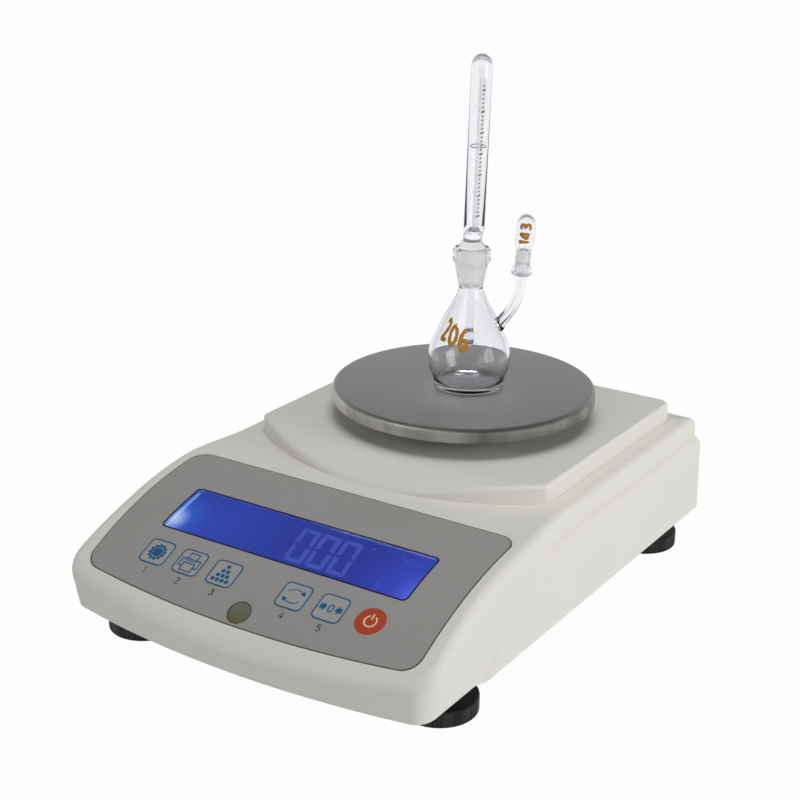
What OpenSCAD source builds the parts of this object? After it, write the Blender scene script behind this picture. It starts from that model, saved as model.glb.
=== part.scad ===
// Benchtop density meter: an electronic pan balance with a thermometer pycnometer standing on its pan.
// Millimetres. The front of the instrument faces -Y, +X is to its right, +Z is up.
// The origin lies on the bench, in the middle of the housing's width and length.

/* [Housing] */
// Overall width of the housing, across its nose
body_w = 195; // [184:1:220]
// Overall length of the housing, from the nose to the rear wall
body_l = 279; // [262:1:320]
// Height of the housing's underside above the bench
underside_z = 22; // [20:0.5:26]
// Height of the upper deck above the bench
deck_z = 69.8; // [66:0.2:80]
// Wall thickness of the mouldings
wall_t = 2.8; // [2:0.1:3.2]
// Radius of the rolled edge round the top of the housing
edge_r = 4.5; // [3.5:0.1:5]
// Radius of the front corners, seen from above
nose_corner_r = 12; // [11:0.5:18]
// Radius of the rear corners, seen from above
rear_corner_r = 10; // [9.5:0.5:12]
// Radius of the nose's bow, seen from above
nose_bow_r = 460; // [380:5:800]
// Height of the skirt's upper edge above the bench
skirt_z = 58; // [54:0.5:60]
// Radius of the arc that brings the skirt down to the underside at its front
skirt_arc_r = 86; // [80:1:100]

/* [Front panel] */
// Radius of the curve that the front panel follows
panel_r = 186; // [180:1:210]
// Length of the curved front, from the nose back to the flat deck
panel_run = 108.5; // [106:0.5:112]
// Distance along the curve from its start to the film's upper edge
film_start = 14; // [12:0.5:16]
// Width of the graphic film
film_w = 174.6; // [150:0.2:180]
// Length of the graphic film along the curve
film_l = 91.5; // [90:0.5:94]
// Thickness of the graphic film
film_t = 0.6; // [0.4:0.05:0.8]
// Width of the display window
window_w = 130; // [110:1:140]
// Height of the display window along the curve
window_h = 27.7; // [22:0.1:32]
// Distance from the film's upper edge to the middle of the window
window_s = 41.4; // [40:0.1:43]
// Width of a key
key_w = 13; // [10:0.1:14]
// Height of a key along the curve
key_h = 12.5; // [10:0.1:13]
// Radius of the power key
power_r = 6.4; // [5:0.1:7]
// Distance from the film's upper edge to the middle of the row of keys
key_s = 69.9; // [68.5:0.1:71.5]
// Travel of a key
key_travel = 0.4; // [0.2:0.05:0.45]
// Radius of the spirit level's sight hole
level_r = 5.5; // [4.5:0.1:6]
// Distance from the film's upper edge to the middle of the level
level_s = 85.2; // [84.6:0.1:85.6]

/* [Platform and pan] */
// Height of the platform above the bench
platform_z = 78.5; // [76:0.1:90]
// Width of the platform
platform_w = 160; // [140:1:162]
// Radius of the platform's bowed front, seen from above
platform_bow_r = 122.6; // [118:0.2:150]
// Radius of the roll at the platform's front edge
platform_roll_r = 47; // [44:1:60]
// Distance of the pan's middle from the rear wall
pan_from_rear = 86; // [84:0.5:92]
// Diameter of the weighing pan
pan_d = 130; // [110:1:136]
// Height of the pan's rim
pan_rim_h = 6.75; // [5:0.25:8]
// Thickness of the pan's sheet
pan_t = 1; // [0.8:0.1:1.5]
// Gap between the platform and the pan's rim
pan_gap = 8.5; // [7:0.1:12]
// Travel of the pan under load, down to the overload stop
weigh_travel = 0.3; // [0.2:0.05:0.4]

/* [Feet] */
// Diameter of a levelling knob
knob_d = 35; // [32:0.5:36]
// Height of a knob's ribbed rim
knob_rim_h = 7.8; // [6:0.2:12]
// Distance between the left and the right feet
feet_w = 142; // [134:0.5:142.5]
// Distance of the front right foot from the nose
front_foot_in = 58.8; // [56:0.2:64]
// Distance by which the front left foot stands further forward
left_foot_ahead = 14; // [0:0.5:14]
// Distance by which the front left foot stands further out
left_foot_out = 10; // [0:0.5:10]
// Distance of the rear feet from the rear wall
rear_foot_in = 18.2; // [18:0.2:24]
// Diameter of a foot's threaded stud
stud_d = 8; // [6:0.5:10]
// Travel of a foot out of the base
foot_travel = 5; // [3:0.5:6]

/* [Pycnometer] */
// Largest diameter of the flask
flask_d = 40.4; // [34:0.2:50]
// Height of the flask's mouth above the pan
flask_h = 69.5; // [66:0.5:80]
// Wall thickness of the glass
glass_t = 1.3; // [1:0.1:1.6]
// Diameter of the thermometer's outer tube
tube_d = 9.9; // [8:0.1:12]
// Height of the thermometer's top above the pan
tube_top = 161.3; // [130:0.5:180]
// Lean of the thermometer's tube, in degrees
tube_lean = 1.2; // [0:0.1:2]
// Diameter of the flask's side arm
arm_d = 5.3; // [4:0.1:6]
// Distance of the side arm's elbow from the flask's axis
arm_out = 23.2; // [22:0.1:27]
// Direction of the side arm, seen from above, in degrees from +X
arm_turn = 30; // [0:1:60]
// Lean of the side arm's upright and its cap, in degrees
arm_lean = 3.5; // [0:0.1:4]

/* [Clearances] */
// Gap round a moulding that drops into another
fit_gap = 0.3; // [0.2:0.05:0.4]
// Radial clearance of a running fit
run_gap = 0.05; // [0.02:0.01:0.1]

/* [Hidden] */
$fn = 64;
front_y = -body_l / 2;
rear_y = body_l / 2;

// Front panel: a cylinder about an axis along X, tangent to the deck where the curve starts.
curve_y = front_y + panel_run;
curve_z = deck_z - panel_r;
film_angle = film_start / panel_r * 180 / PI;

// The platform lies symmetrically about the pan, a little ahead of the rear wall.
pan_y = rear_y - pan_from_rear;
platform_rear = rear_y - 11.2;
platform_front = pan_y - 88.6;
roll_y = platform_front + 26.6;
post_hole_r = 11;

// Set-backs from the overall outline: the front portion leans in at its foot, the deck's wall stands in.
lean_side = 3.8;
lean_nose = 2.1;
waist_side = 2.2;
deck_side = 6.2;
deck_rear = 3.5;
skirt_side = 1.5;
skirt_draft = 0.8;
skirt_end = front_y + 53.5;
skirt_level_y = front_y + 129.5;

// Base plate
base_t = 3;
base_z = underside_z + 0.3;
base_top = base_z + base_t;

// Keys
key_xs = [-56.4, -37.7, -18.7, 18.5, 37.5];
power_x = 57.1;
key_sink = film_t - 0.1;
key_pocket = key_sink + key_travel + 0.1;
stem_r = 1.7;
switch_h = 3;
switch_top = wall_t + 0.35;
key_board_top = switch_top + switch_h;
board_t = 1.6;

// Display stack, measured down from the panel's surface on the tangent plane at the window's middle
lens_t = 2;
bezel_top = wall_t + 1.7;
lcd_t = 1.6;
backlight_t = 2.4;
bezel_t = lcd_t + backlight_t;
bezel_w = window_w + 10;
bezel_h = window_h + 12;
display_board_top = bezel_top + bezel_t;

// Level
level_angle = film_angle + level_s / panel_r * 180 / PI;
level_y = curve_y - panel_r * sin(level_angle);
level_z = curve_z + panel_r * cos(level_angle);
vial_r = level_r - 0.3;
vial_h = 6;
vial_top = level_z - vial_r * tan(level_angle) - 1.2;
vial_bottom = vial_top - vial_h;

// Weighing chain, from the base plate up to the pan
cell_w = 25;
cell_h = 22;
cell_l = 80;
cell_end = 20;
block_h = 7.7;
cell_z = base_top + block_h;
cell_top = cell_z + cell_h;
arm_block_h = 3;
arm_t = 5;
arm_top = cell_top + arm_block_h + arm_t;
pan_bottom = platform_z + pan_gap;
pan_top = pan_bottom + pan_rim_h;
buffer_h = 2.5;
spider_t = 3;
spider_top = pan_top - pan_t - buffer_h;
spider_bottom = spider_top - spider_t;
hub_r = 13;
post_r = 7;
spider_reach = pan_d / 2 - pan_t - 1.5;
buffer_r = 4.5;
buffer_at = spider_reach - buffer_r - 1;

// Feet
foot_x = feet_w / 2;
feet = [
    [-foot_x - left_foot_out, front_y + front_foot_in - left_foot_ahead],
    [foot_x, front_y + front_foot_in],
    [-foot_x, rear_y - rear_foot_in],
    [foot_x, rear_y - rear_foot_in]
];
pad_r = 14.5;
pad_h = 3;
pad_pin_r = 3;
pad_pin_h = 3;
knob_z = 0.6;
knob_top = underside_z - 0.5;
stud_r = stud_d / 2;
stud_z = 7;
stud_top = underside_z + 20;
insert_r = stud_r + 3;
insert_top = underside_z + 13;

// Pycnometer, placed on the pan a little to the right of its middle
flask_x = 2.5;
flask_y = pan_y + 0.3;
flask_r = flask_d / 2;
mouth_r = 6.6;
throat_r = 4.6;
throat_z = flask_h - 19.5;
arm_r = arm_d / 2;
elbow_z = 42.8;
arm_slope = 38;
arm_root = 16.4;
arm_bore_r = 1.1;
cap_z = 56;
cone_top = 69;
cone_foot_r = 2.85;
cone_tip_r = 2.45;

// ---------------------------------------------------------------- shapes shared by the mouldings

function mix(a, b, t) = a + (b - a) * t;
function ease(t) = let(c = max(0, min(1, t))) c * c * (3 - 2 * c);
function span(a, b, n) = [for (i = [1 : n - 1]) mix(a, b, i / n)];

// Right half of a plan outline with a bowed front and rounded corners, from the front's middle round
// to the straight rear edge. Each entry is [x, y, outward normal x, outward normal y].
function half_outline(w, yf, yr, bow, rc, rr, bow_n, side_n) =
    let(
        half = w / 2,
        bow_y = yf + bow,
        cx = half - rc,
        cy = bow_y - sqrt(pow(bow - rc, 2) - pow(cx, 2)),
        meet = atan2(cy - bow_y, cx)
    )
    concat(
        [[0, yf, 0, -1]],
        [for (a = span(-90, meet, bow_n)) [bow * cos(a), bow_y + bow * sin(a), cos(a), sin(a)]],
        [for (i = [0 : 6]) let(a = mix(meet, 0, i / 6)) [cx + rc * cos(a), cy + rc * sin(a), cos(a), sin(a)]],
        [for (y = span(cy, yr - rr, side_n)) [half, y, 1, 0]],
        [for (i = [0 : 4]) let(a = 90 * i / 4)
            [half - rr + rr * cos(a), yr - rr + rr * sin(a), cos(a), sin(a)]]
    );

// A whole ring from a half ring: the left side mirrors the right.
function whole(half) = let(n = len(half) - 1)
    concat(half, [for (i = [n : -1 : 1]) [-half[i].x, half[i].y, half[i].z]]);

function ring_faces(rows, n) = [
    for (j = [0 : rows - 2], i = [0 : n - 1])
        let(a = j * n + i, b = j * n + (i + 1) % n, c = b + n, d = a + n)
        each [[a, d, c], [a, c, b]]
];

// Straight strips across a ring, from its left side to its right.
function cap_faces(row, n, up) = [
    for (i = [0 : (n - 1) / 2 - 1])
        let(
            r0 = row * n + i,
            r1 = r0 + 1,
            l0 = row * n + (n - i) % n,
            l1 = row * n + n - i - 1,
            strip = i == 0 ? [[l1, r1, r0]] : [[l0, l1, r1], [l0, r1, r0]]
        )
        each (up ? strip : [for (t = strip) [t[2], t[1], t[0]]])
];

// A solid through rings that all have the same number of points, closed at both ends.
module ring_solid(rings) {
    n = len(rings[0]);
    rows = len(rings);
    polyhedron(
        points = [for (r = rings) each r],
        faces = concat(ring_faces(rows, n), cap_faces(rows - 1, n, true), cap_faces(0, n, false)),
        convexity = 8
    );
}

// ---------------------------------------------------------------- the housing's outer form

// Height of the top surface: a flat deck that falls away along the panel's curve.
function top_z(y) = y > curve_y ? deck_z : curve_z + sqrt(pow(panel_r, 2) - pow(y - curve_y, 2));

// Height of the skirt's edge: level at the sides, and an arc down to the underside at its front.
function skirt_edge(y) =
    let(back = skirt_level_y - y, r = skirt_arc_r)
    back <= 0 ? skirt_z : skirt_z - r + sqrt(max(0, r * r - back * back));

function skirt_on(y) = ease((y - skirt_end + 4) / 8);
function wall_side(y) =
    mix(waist_side * ease((y - front_y - 5) / 50), deck_side, ease((y - front_y - 89) / 42));

// Set-back of a point from the outline: its own value at the side, the nose and the rear.
function set_back(p, side, nose, rear) = mix(side, p[3] < 0 ? nose : rear, p[3] * p[3]);
function moved(p, d, z) = [p.x - d * p[2], p.y - d * p[3], z];

function foot_in(p) = set_back(p, mix(lean_side, skirt_side, skirt_on(p.y)), lean_nose, 0);
function wall_in(p) = set_back(p, wall_side(p.y), 0, deck_rear);
function lean_in(p) = set_back(p, lean_side, lean_nose, deck_rear);
function wall_top(p) = top_z(p.y) - edge_r;
function shoulder_z(p) = mix(underside_z + 2, max(skirt_edge(p.y), underside_z + 1) + 2.2, skirt_on(p.y));
function shoulder_in(p) =
    mix(lean_in(p), wall_in(p), (shoulder_z(p) - underside_z) / (wall_top(p) - underside_z));
function ledge_z(p) = mix(underside_z + 1, max(skirt_edge(p.y) - 1.2, underside_z + 1.2), skirt_on(p.y));
function ledge_in(p) =
    mix(foot_in(p) * 0.97, min(foot_in(p) + skirt_draft, shoulder_in(p) - 0.05), skirt_on(p.y));

function rim_point(p, a) =
    let(d = wall_in(p) + edge_r * (1 - cos(a)), q = moved(p, d, 0))
    [q.x, q.y, top_z(q.y) - edge_r * (1 - sin(a))];

function ceiling_point(p, d, drop) = let(q = moved(p, d, 0)) [q.x, q.y, top_z(q.y) - drop];

housing = half_outline(body_w, front_y, rear_y, nose_bow_r, nose_corner_r, rear_corner_r, 7, 21);

outer_rings = [
    [for (p = housing) moved(p, foot_in(p), underside_z)],
    [for (p = housing) moved(p, ledge_in(p), ledge_z(p))],
    [for (p = housing) moved(p, shoulder_in(p), shoulder_z(p))],
    for (a = [0 : 30 : 90]) [for (p = housing) rim_point(p, a)]
];

inner_rings = [
    [for (p = housing) ceiling_point(p, wall_in(p) + wall_t + 1.2, wall_t)],
    [for (p = housing) ceiling_point(p, wall_in(p) + wall_t, edge_r + wall_t / 2)],
    [for (p = housing) moved(p, shoulder_in(p) + wall_t, shoulder_z(p) - 1)],
    [for (p = housing) moved(p, ledge_in(p) + wall_t, ledge_z(p) - 0.5)],
    [for (p = housing) moved(p, foot_in(p) + wall_t, underside_z)]
];

// Platform: a slab with a bowed front whose top rolls down to the deck.
function platform_top(y) =
    y > roll_y ? platform_z
    : platform_z - platform_roll_r + sqrt(pow(platform_roll_r, 2) - pow(roll_y - y, 2));

platform = half_outline(platform_w, platform_front, platform_rear, platform_bow_r, 4, 7, 12, 2);
function platform_point(p, d, drop) = let(q = moved(p, d, 0)) [q.x, q.y, platform_top(q.y) - drop];
platform_rings = [
    [for (p = platform) moved(p, 0, deck_z - wall_t / 2)],
    [for (p = platform) platform_point(p, 0.4, 1.3)],
    [for (p = platform) platform_point(p, 0.8, 0.4)],
    [for (p = platform) platform_point(p, 1.7, 0)]
];

// ---------------------------------------------------------------- places on the curved panel

// Children stand on the panel's surface: x across, s down the curve from the film's upper edge.
// Their own +Z is the surface's normal and their own +Y runs up the slope.
module on_panel(x, s) {
    a = film_angle + s / panel_r * 180 / PI;
    translate([0, curve_y, curve_z])
        rotate([a, 0, 0])
            translate([x, 0, panel_r])
                children();
}

// A curved sheet parallel to the panel, from depth low to depth high below its surface.
module panel_sheet(low, high) {
    translate([0, curve_y, curve_z])
        rotate([0, 90, 0])
            difference() {
                cylinder(r = panel_r - high, h = body_w, center = true, $fn = 256);
                cylinder(r = panel_r - low, h = body_w + 2, center = true, $fn = 256);
            }
}

module rounded_rect(w, h, r) {
    union() {
        square([w - 2 * r, h], center = true);
        square([w, h - 2 * r], center = true);
        for (x = [-1, 1], y = [-1, 1])
            translate([x * (w / 2 - r), y * (h / 2 - r)])
                circle(r = r);
    }
}

module rounded_block(w, h, r, low, high) {
    translate([0, 0, low])
        linear_extrude(high - low)
            rounded_rect(w, h, r);
}

// The film's outline: square at the top, bowed at the bottom, with round corners.
film_sag = 6;
film_bow = (pow(film_w / 2, 2) + pow(film_sag, 2)) / (2 * film_sag);
film_corner = 8.5;
module film_outline(grow) {
    mid = film_l / 2;
    half = film_w / 2 + grow;
    bow = film_bow + grow;
    foot = -mid - grow;
    cx = half - film_corner;
    cy = foot + bow - sqrt(pow(bow - film_corner, 2) - pow(cx, 2));
    meet = atan2(cy - foot - bow, cx);
    top = mid + grow - film_corner;
    right = concat(
        [for (a = span(-90, meet, 8)) [bow * cos(a), foot + bow + bow * sin(a)]],
        [for (i = [0 : 6]) let(a = mix(meet, 0, i / 6)) [cx + film_corner * cos(a), cy + film_corner * sin(a)]],
        [for (i = [0 : 6]) let(a = 15 * i) [cx + film_corner * cos(a), top + film_corner * sin(a)]]
    );
    polygon(concat([[0, foot]], right, [for (i = [len(right) - 1 : -1 : 0]) [-right[i].x, right[i].y]]));
}

module on_film_middle() {
    on_panel(0, film_l / 2) children();
}

module at_keys() {
    for (x = key_xs)
        on_panel(x, key_s) children();
}

// ---------------------------------------------------------------- housing

boss_r = 4;
pilot_r = 1.3;
front_bosses = [[-80, front_y + 21], [80, front_y + 21]];
deck_bosses = [[-83, 10], [83, 10], [-52, rear_y - 16], [52, rear_y - 16]];
cover_bosses = concat(front_bosses, deck_bosses);
display_bosses = [[-1, -1], [1, -1], [-1, 1], [1, 1]];
display_boss_x = bezel_w / 2 + 4;
display_boss_y = bezel_h / 2 - 5;
key_boss_xs = [-66, -28, 28, 66];
level_cup_r = vial_r + run_gap + 1.2;
serial_x = 34;
jackscrew_x = 12.495;
port_z = 38;
jack_x = -34;
platform_room_front = roll_y + 3;

module key_opening(w, h, r) {
    rounded_block(w + 2 * fit_gap, h + 2 * fit_gap, r + fit_gap, -key_pocket, 2);
}

module upper_cover() {
    color([0.90, 0.90, 0.86])
    difference() {
        union() {
            ring_solid([for (r = concat(inner_rings, outer_rings)) whole(r)]);
            ring_solid([for (r = platform_rings) whole(r)]);
            for (b = deck_bosses)
                translate([b.x, b.y, base_top])
                    cylinder(r = boss_r, h = deck_z - wall_t / 2 - base_top);
            intersection() {
                translate([0, curve_y, curve_z])
                    rotate([0, 90, 0])
                        cylinder(r = panel_r - wall_t / 2, h = body_w, center = true, $fn = 256);
                union() {
                    for (b = front_bosses)
                        translate([b.x, b.y, base_top])
                            cylinder(r = boss_r, h = 40);
                }
            }
            for (d = display_bosses)
                on_panel(d.x * display_boss_x, window_s)
                    translate([0, d.y * display_boss_y, -display_board_top])
                        cylinder(r = 3, h = display_board_top - wall_t / 2 - 1.5);
            for (x = key_boss_xs)
                on_panel(x, key_s)
                    translate([0, 0, -key_board_top])
                        cylinder(r = 2.5, h = key_board_top - wall_t / 2);
        }
        // room under the platform, and the post's way through it
        translate([0, 0, deck_z - wall_t - 1])
            linear_extrude(platform_z - deck_z + 1)
                translate([0, (platform_room_front + platform_rear - wall_t - 1.7) / 2])
                    rounded_rect(
                        platform_w - 2 * wall_t - 3.4,
                        platform_rear - wall_t - 1.7 - platform_room_front,
                        5
                    );
        translate([0, pan_y, deck_z])
            cylinder(r = post_hole_r, h = 20);
        for (b = cover_bosses)
            translate([b.x, b.y, base_top - 1])
                cylinder(r = pilot_r, h = 13);
        // the film's shallow seat, the keys' pockets and their stems' holes
        intersection() {
            panel_sheet(film_t - 0.1, -2);
            on_film_middle()
                translate([0, 0, -12])
                    linear_extrude(22)
                        film_outline(0.15);
        }
        at_keys() {
            key_opening(key_w, key_h, 2.2);
            translate([0, 0, -10])
                cylinder(r = stem_r + fit_gap, h = 10);
        }
        on_panel(power_x, key_s) {
            translate([0, 0, -key_pocket])
                cylinder(r = power_r + fit_gap, h = 4);
            translate([0, 0, -10])
                cylinder(r = stem_r + fit_gap, h = 10);
        }
        // the display's window, with a ledge for its lens
        on_panel(0, window_s) {
            rounded_block(window_w, window_h, 2, -lens_t, 4);
            rounded_block(window_w - 4, window_h - 4, 1, -10, 4);
        }
        on_panel(0, level_s)
            translate([0, 0, -14])
                cylinder(r = level_r + 0.6, h = 18);
        translate([0, level_y, vial_bottom - 1])
            cylinder(r = vial_r + fit_gap, h = vial_h + 1 + fit_gap);
        // screws' pilot holes for the two boards behind the panel
        for (d = display_bosses)
            on_panel(d.x * display_boss_x, window_s)
                translate([0, d.y * display_boss_y, -display_board_top - 1])
                    cylinder(r = 1, h = 6);
        for (x = key_boss_xs)
            on_panel(x, key_s)
                translate([0, 0, -key_board_top - 1])
                    cylinder(r = 0.8, h = 4);
        // the ports' openings in the rear wall
        translate([serial_x, rear_y - 6, port_z])
            rotate([-90, 0, 0])
                rounded_block(19, 11, 2, 0, 10);
        for (side = [-1, 1])
            translate([serial_x + side * jackscrew_x, rear_y - 6, port_z])
                rotate([-90, 0, 0])
                    cylinder(r = 3.2, h = 10);
        translate([jack_x, rear_y - 6, port_z])
            rotate([-90, 0, 0])
                cylinder(r = 5, h = 10);
    }
}

// The base lies inside the front portion's leaning walls, and widens behind where the skirt starts.
function base_in(p) = set_back(p, mix(lean_side, skirt_side, skirt_on(p.y - 18)), lean_nose, 0);
function base_outline(gap) = [
    for (q = whole([for (p = housing) moved(p, base_in(p) + wall_t + gap, 0)])) [q.x, q.y]
];

standoffs = [[-48, -64], [48, -64], [-48, -6], [48, -6]];
board_z = base_top + 6;

module base_plate() {
    color([0.86, 0.86, 0.83])
    difference() {
        union() {
            translate([0, 0, base_z])
                linear_extrude(base_t)
                    polygon(base_outline(fit_gap));
            for (f = feet)
                translate([f.x, f.y, base_z])
                    cylinder(r = insert_r + 2.5, h = insert_top - base_z - 1);
            for (s = standoffs)
                translate([s.x, s.y, base_top - 1])
                    cylinder(r = 3, h = board_z - base_top + 1);
            for (x = [-30, 30])
                translate([x - 1, -50, base_top - 1])
                    cube([2, 170, 4]);
            for (y = [0, 115])
                translate([-62, y, base_top - 1])
                    cube([124, 2, 4]);
        }
        for (f = feet)
            translate([f.x, f.y, base_z - 1])
                cylinder(r = insert_r + run_gap, h = 40);
        for (b = cover_bosses) {
            translate([b.x, b.y, base_z - 1])
                cylinder(r = pilot_r + 0.4, h = 10);
            translate([b.x, b.y, base_z - 1])
                cylinder(r = 3.2, h = 2.7);
        }
        for (s = standoffs)
            translate([s.x, s.y, base_top])
                cylinder(r = 1.2, h = 12);
        translate([0, pan_y - cell_l / 2 + cell_end / 2, base_z - 1])
            cylinder(r = 2.5 + run_gap, h = 10);
        for (y = [-6, 6])
            translate([0, pan_y + cell_l / 2 - cell_end / 2 + y, base_z - 1]) {
                cylinder(r = 2.6, h = 10);
                cylinder(r = 4.6, h = 3);
            }
        for (x = [-20 : 8 : 20])
            translate([x, front_y + 38, base_z - 1])
                linear_extrude(10)
                    rounded_rect(3, 16, 1.4);
    }
}

module screw(head_r, head_h, shank_r, shank_l) {
    union() {
        cylinder(r = head_r, h = head_h);
        translate([0, 0, head_h - 0.01])
            cylinder(r = shank_r, h = shank_l);
    }
}

module cover_screws() {
    color([0.6, 0.6, 0.62])
    for (b = cover_bosses)
        translate([b.x, b.y, base_z + 0.1])
            screw(3, 1.6, pilot_r - run_gap, 12);
}

// ---------------------------------------------------------------- feet

module foot_inserts() {
    color([0.80, 0.65, 0.30])
    for (f = feet)
        translate([f.x, f.y, base_z])
            difference() {
                cylinder(r = insert_r, h = insert_top - base_z);
                translate([0, 0, -1])
                    cylinder(r = stud_r + run_gap, h = 40);
            }
}

module foot_pad(i) {
    color([0.12, 0.12, 0.12])
    translate([feet[i].x, feet[i].y, 0])
        union() {
            cylinder(r = pad_r, h = pad_h);
            cylinder(r = pad_pin_r, h = pad_h + pad_pin_h);
        }
}

// A knob: a ribbed rim with a smooth top, a hub above it and a shallow socket for its pad.
knob_foot_r = 0.8;
knob_edge_r = 1;
knob_hub_r = 8.5;
knob_ribs = 60;
module foot_knob(i) {
    r = knob_d / 2;
    rim_top = knob_z + knob_rim_h;
    color([0.10, 0.10, 0.11])
    translate([feet[i].x, feet[i].y, 0])
        difference() {
            rotate_extrude()
                polygon(concat(
                    [[0, knob_z]],
                    [for (a = [-90 : 30 : 0])
                        [r - knob_foot_r + knob_foot_r * cos(a), knob_z + knob_foot_r + knob_foot_r * sin(a)]],
                    [for (a = [0 : 30 : 90])
                        [r - knob_edge_r + knob_edge_r * cos(a), rim_top - knob_edge_r + knob_edge_r * sin(a)]],
                    [[knob_hub_r + 1.5, rim_top], [knob_hub_r, rim_top + 1.5]],
                    [[knob_hub_r, knob_top], [0, knob_top]]
                ));
            for (k = [0 : knob_ribs - 1])
                rotate(k * 360 / knob_ribs)
                    translate([r + 0.2, 0, knob_z + knob_foot_r])
                        cylinder(r = 0.6, h = knob_rim_h - knob_foot_r - knob_edge_r);
            translate([0, 0, -1])
                cylinder(r = pad_r + fit_gap, h = pad_h + 1.1);
            cylinder(r = pad_pin_r + run_gap, h = pad_h + pad_pin_h + 0.3);
            translate([0, 0, stud_z])
                cylinder(r = stud_r, h = 40);
        }
}

module foot_stud(i) {
    color([0.70, 0.70, 0.72])
    translate([feet[i].x, feet[i].y, stud_z])
        cylinder(r = stud_r, h = stud_top - stud_z);
}

// ---------------------------------------------------------------- front panel

module panel_film() {
    color([0.58, 0.58, 0.57])
    difference() {
        intersection() {
            panel_sheet(film_t - 0.1, -0.1);
            on_film_middle()
                translate([0, 0, -12])
                    linear_extrude(22)
                        film_outline(0);
        }
        on_panel(0, window_s)
            rounded_block(window_w + 0.2, window_h + 0.2, 2.1, -4, 4);
        at_keys()
            rounded_block(key_w + 2 * fit_gap, key_h + 2 * fit_gap, 2.2 + fit_gap, -4, 4);
        on_panel(power_x, key_s)
            translate([0, 0, -4])
                cylinder(r = power_r + fit_gap, h = 8);
        on_panel(0, level_s)
            translate([0, 0, -4])
                cylinder(r = level_r + 0.6, h = 8);
    }
}

module display_window() {
    color([0.15, 0.20, 0.65])
    intersection() {
        panel_sheet(lens_t + 1, 0);
        on_panel(0, window_s)
            rounded_block(window_w - 0.2, window_h - 0.2, 1.9, -lens_t, 2);
    }
}

module at_display(depth) {
    on_panel(0, window_s)
        translate([0, 0, -depth])
            children();
}

module lcd_glass() {
    color([0.20, 0.25, 0.80])
    at_display(bezel_top + lcd_t)
        translate([0, 0, lcd_t / 2])
            cube([window_w + 2, window_h + 3, lcd_t - 0.2], center = true);
}

module backlight() {
    color([0.92, 0.94, 0.98])
    at_display(display_board_top)
        translate([0, 0, backlight_t / 2])
            cube([window_w + 2, window_h + 3, backlight_t - 0.1], center = true);
}

module lcd_bezel() {
    color([0.12, 0.12, 0.13])
    at_display(display_board_top)
        difference() {
            rounded_block(bezel_w, bezel_h, 1, 0, bezel_t + 0.6);
            translate([0, 0, bezel_t / 2])
                cube([window_w + 2.2, window_h + 3.2, bezel_t + 0.01], center = true);
            rounded_block(window_w - 1, window_h - 1, 0.5, -1, 10);
        }
}

module display_board() {
    color([0.10, 0.35, 0.18])
    at_display(display_board_top + board_t)
        difference() {
            rounded_block(bezel_w + 16, bezel_h, 2, 0, board_t);
            for (d = display_bosses)
                translate([d.x * display_boss_x, d.y * display_boss_y, -1])
                    cylinder(r = 1.3, h = 4);
        }
}

module display_screws() {
    color([0.75, 0.75, 0.77])
    for (d = display_bosses)
        on_panel(d.x * display_boss_x, window_s)
            translate([0, d.y * display_boss_y, -display_board_top - board_t - 1.5])
                screw(2.4, 1.5, 1 - run_gap, 6);
}

// A key: a printed pad with a stem that works its switch.
module key_stem() {
    translate([0, 0, -switch_top - 1.2])
        cylinder(r = stem_r, h = switch_top + 1.2 - key_sink + 0.1);
}

module panel_key(i) {
    color([0.50, 0.58, 0.66])
    on_panel(key_xs[i], key_s)
        union() {
            rounded_block(key_w, key_h, 2.2, -key_sink, 0.1);
            key_stem();
        }
}

module power_key() {
    color([0.82, 0.24, 0.12])
    on_panel(power_x, key_s)
        union() {
            translate([0, 0, -key_sink])
                cylinder(r = power_r, h = key_sink + 0.1);
            key_stem();
        }
}

module key_board() {
    color([0.10, 0.35, 0.18])
    on_panel(0, key_s)
        difference() {
            rounded_block(141, 13, 2, -key_board_top - board_t, -key_board_top);
            for (x = key_boss_xs)
                translate([x, 0, -key_board_top - 3])
                    cylinder(r = 1.1, h = 4);
        }
}

module key_switches() {
    color([0.2, 0.2, 0.22])
    for (x = concat(key_xs, [power_x]))
        on_panel(x, key_s)
            difference() {
                translate([-3, -3, -key_board_top])
                    cube([6, 6, switch_h]);
                translate([0, 0, -switch_top - 2.2])
                    cylinder(r = stem_r + run_gap, h = 5);
            }
}

module key_board_screws() {
    color([0.75, 0.75, 0.77])
    for (x = key_boss_xs)
        on_panel(x, key_s)
            translate([0, 0, -key_board_top - board_t - 1.2])
                screw(1.9, 1.2, 0.8 - run_gap, 4.2);
}

// ---------------------------------------------------------------- spirit level

module level_holder() {
    color([0.08, 0.08, 0.08])
    difference() {
        union() {
            intersection() {
                translate([0, level_y, vial_bottom - 1])
                    cylinder(r = level_cup_r, h = 30);
                on_panel(0, level_s)
                    translate([0, 0, -30 - wall_t - 0.3])
                        cylinder(r = 20, h = 30);
            }
            on_panel(0, level_s)
                translate([0, 0, -wall_t - 1])
                    cylinder(r = level_r + 0.5, h = wall_t + 1.05);
        }
        on_panel(0, level_s)
            translate([0, 0, -wall_t - 1.5])
                cylinder(r = level_r - 0.1, h = wall_t + 4);
        translate([0, level_y, vial_bottom])
            cylinder(r = vial_r + run_gap, h = 40);
    }
}

module level_vial() {
    color([0.75, 0.85, 0.60])
    translate([0, level_y, vial_bottom])
        difference() {
            cylinder(r = vial_r, h = vial_h);
            translate([0, 0, 1])
                cylinder(r = vial_r - 1, h = vial_h - 2);
        }
}

module level_liquid() {
    color([0.55, 0.70, 0.20])
    translate([0, level_y, vial_bottom + 1])
        cylinder(r = vial_r - 1.02, h = vial_h - 2.3);
}

// ---------------------------------------------------------------- electronics

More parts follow.
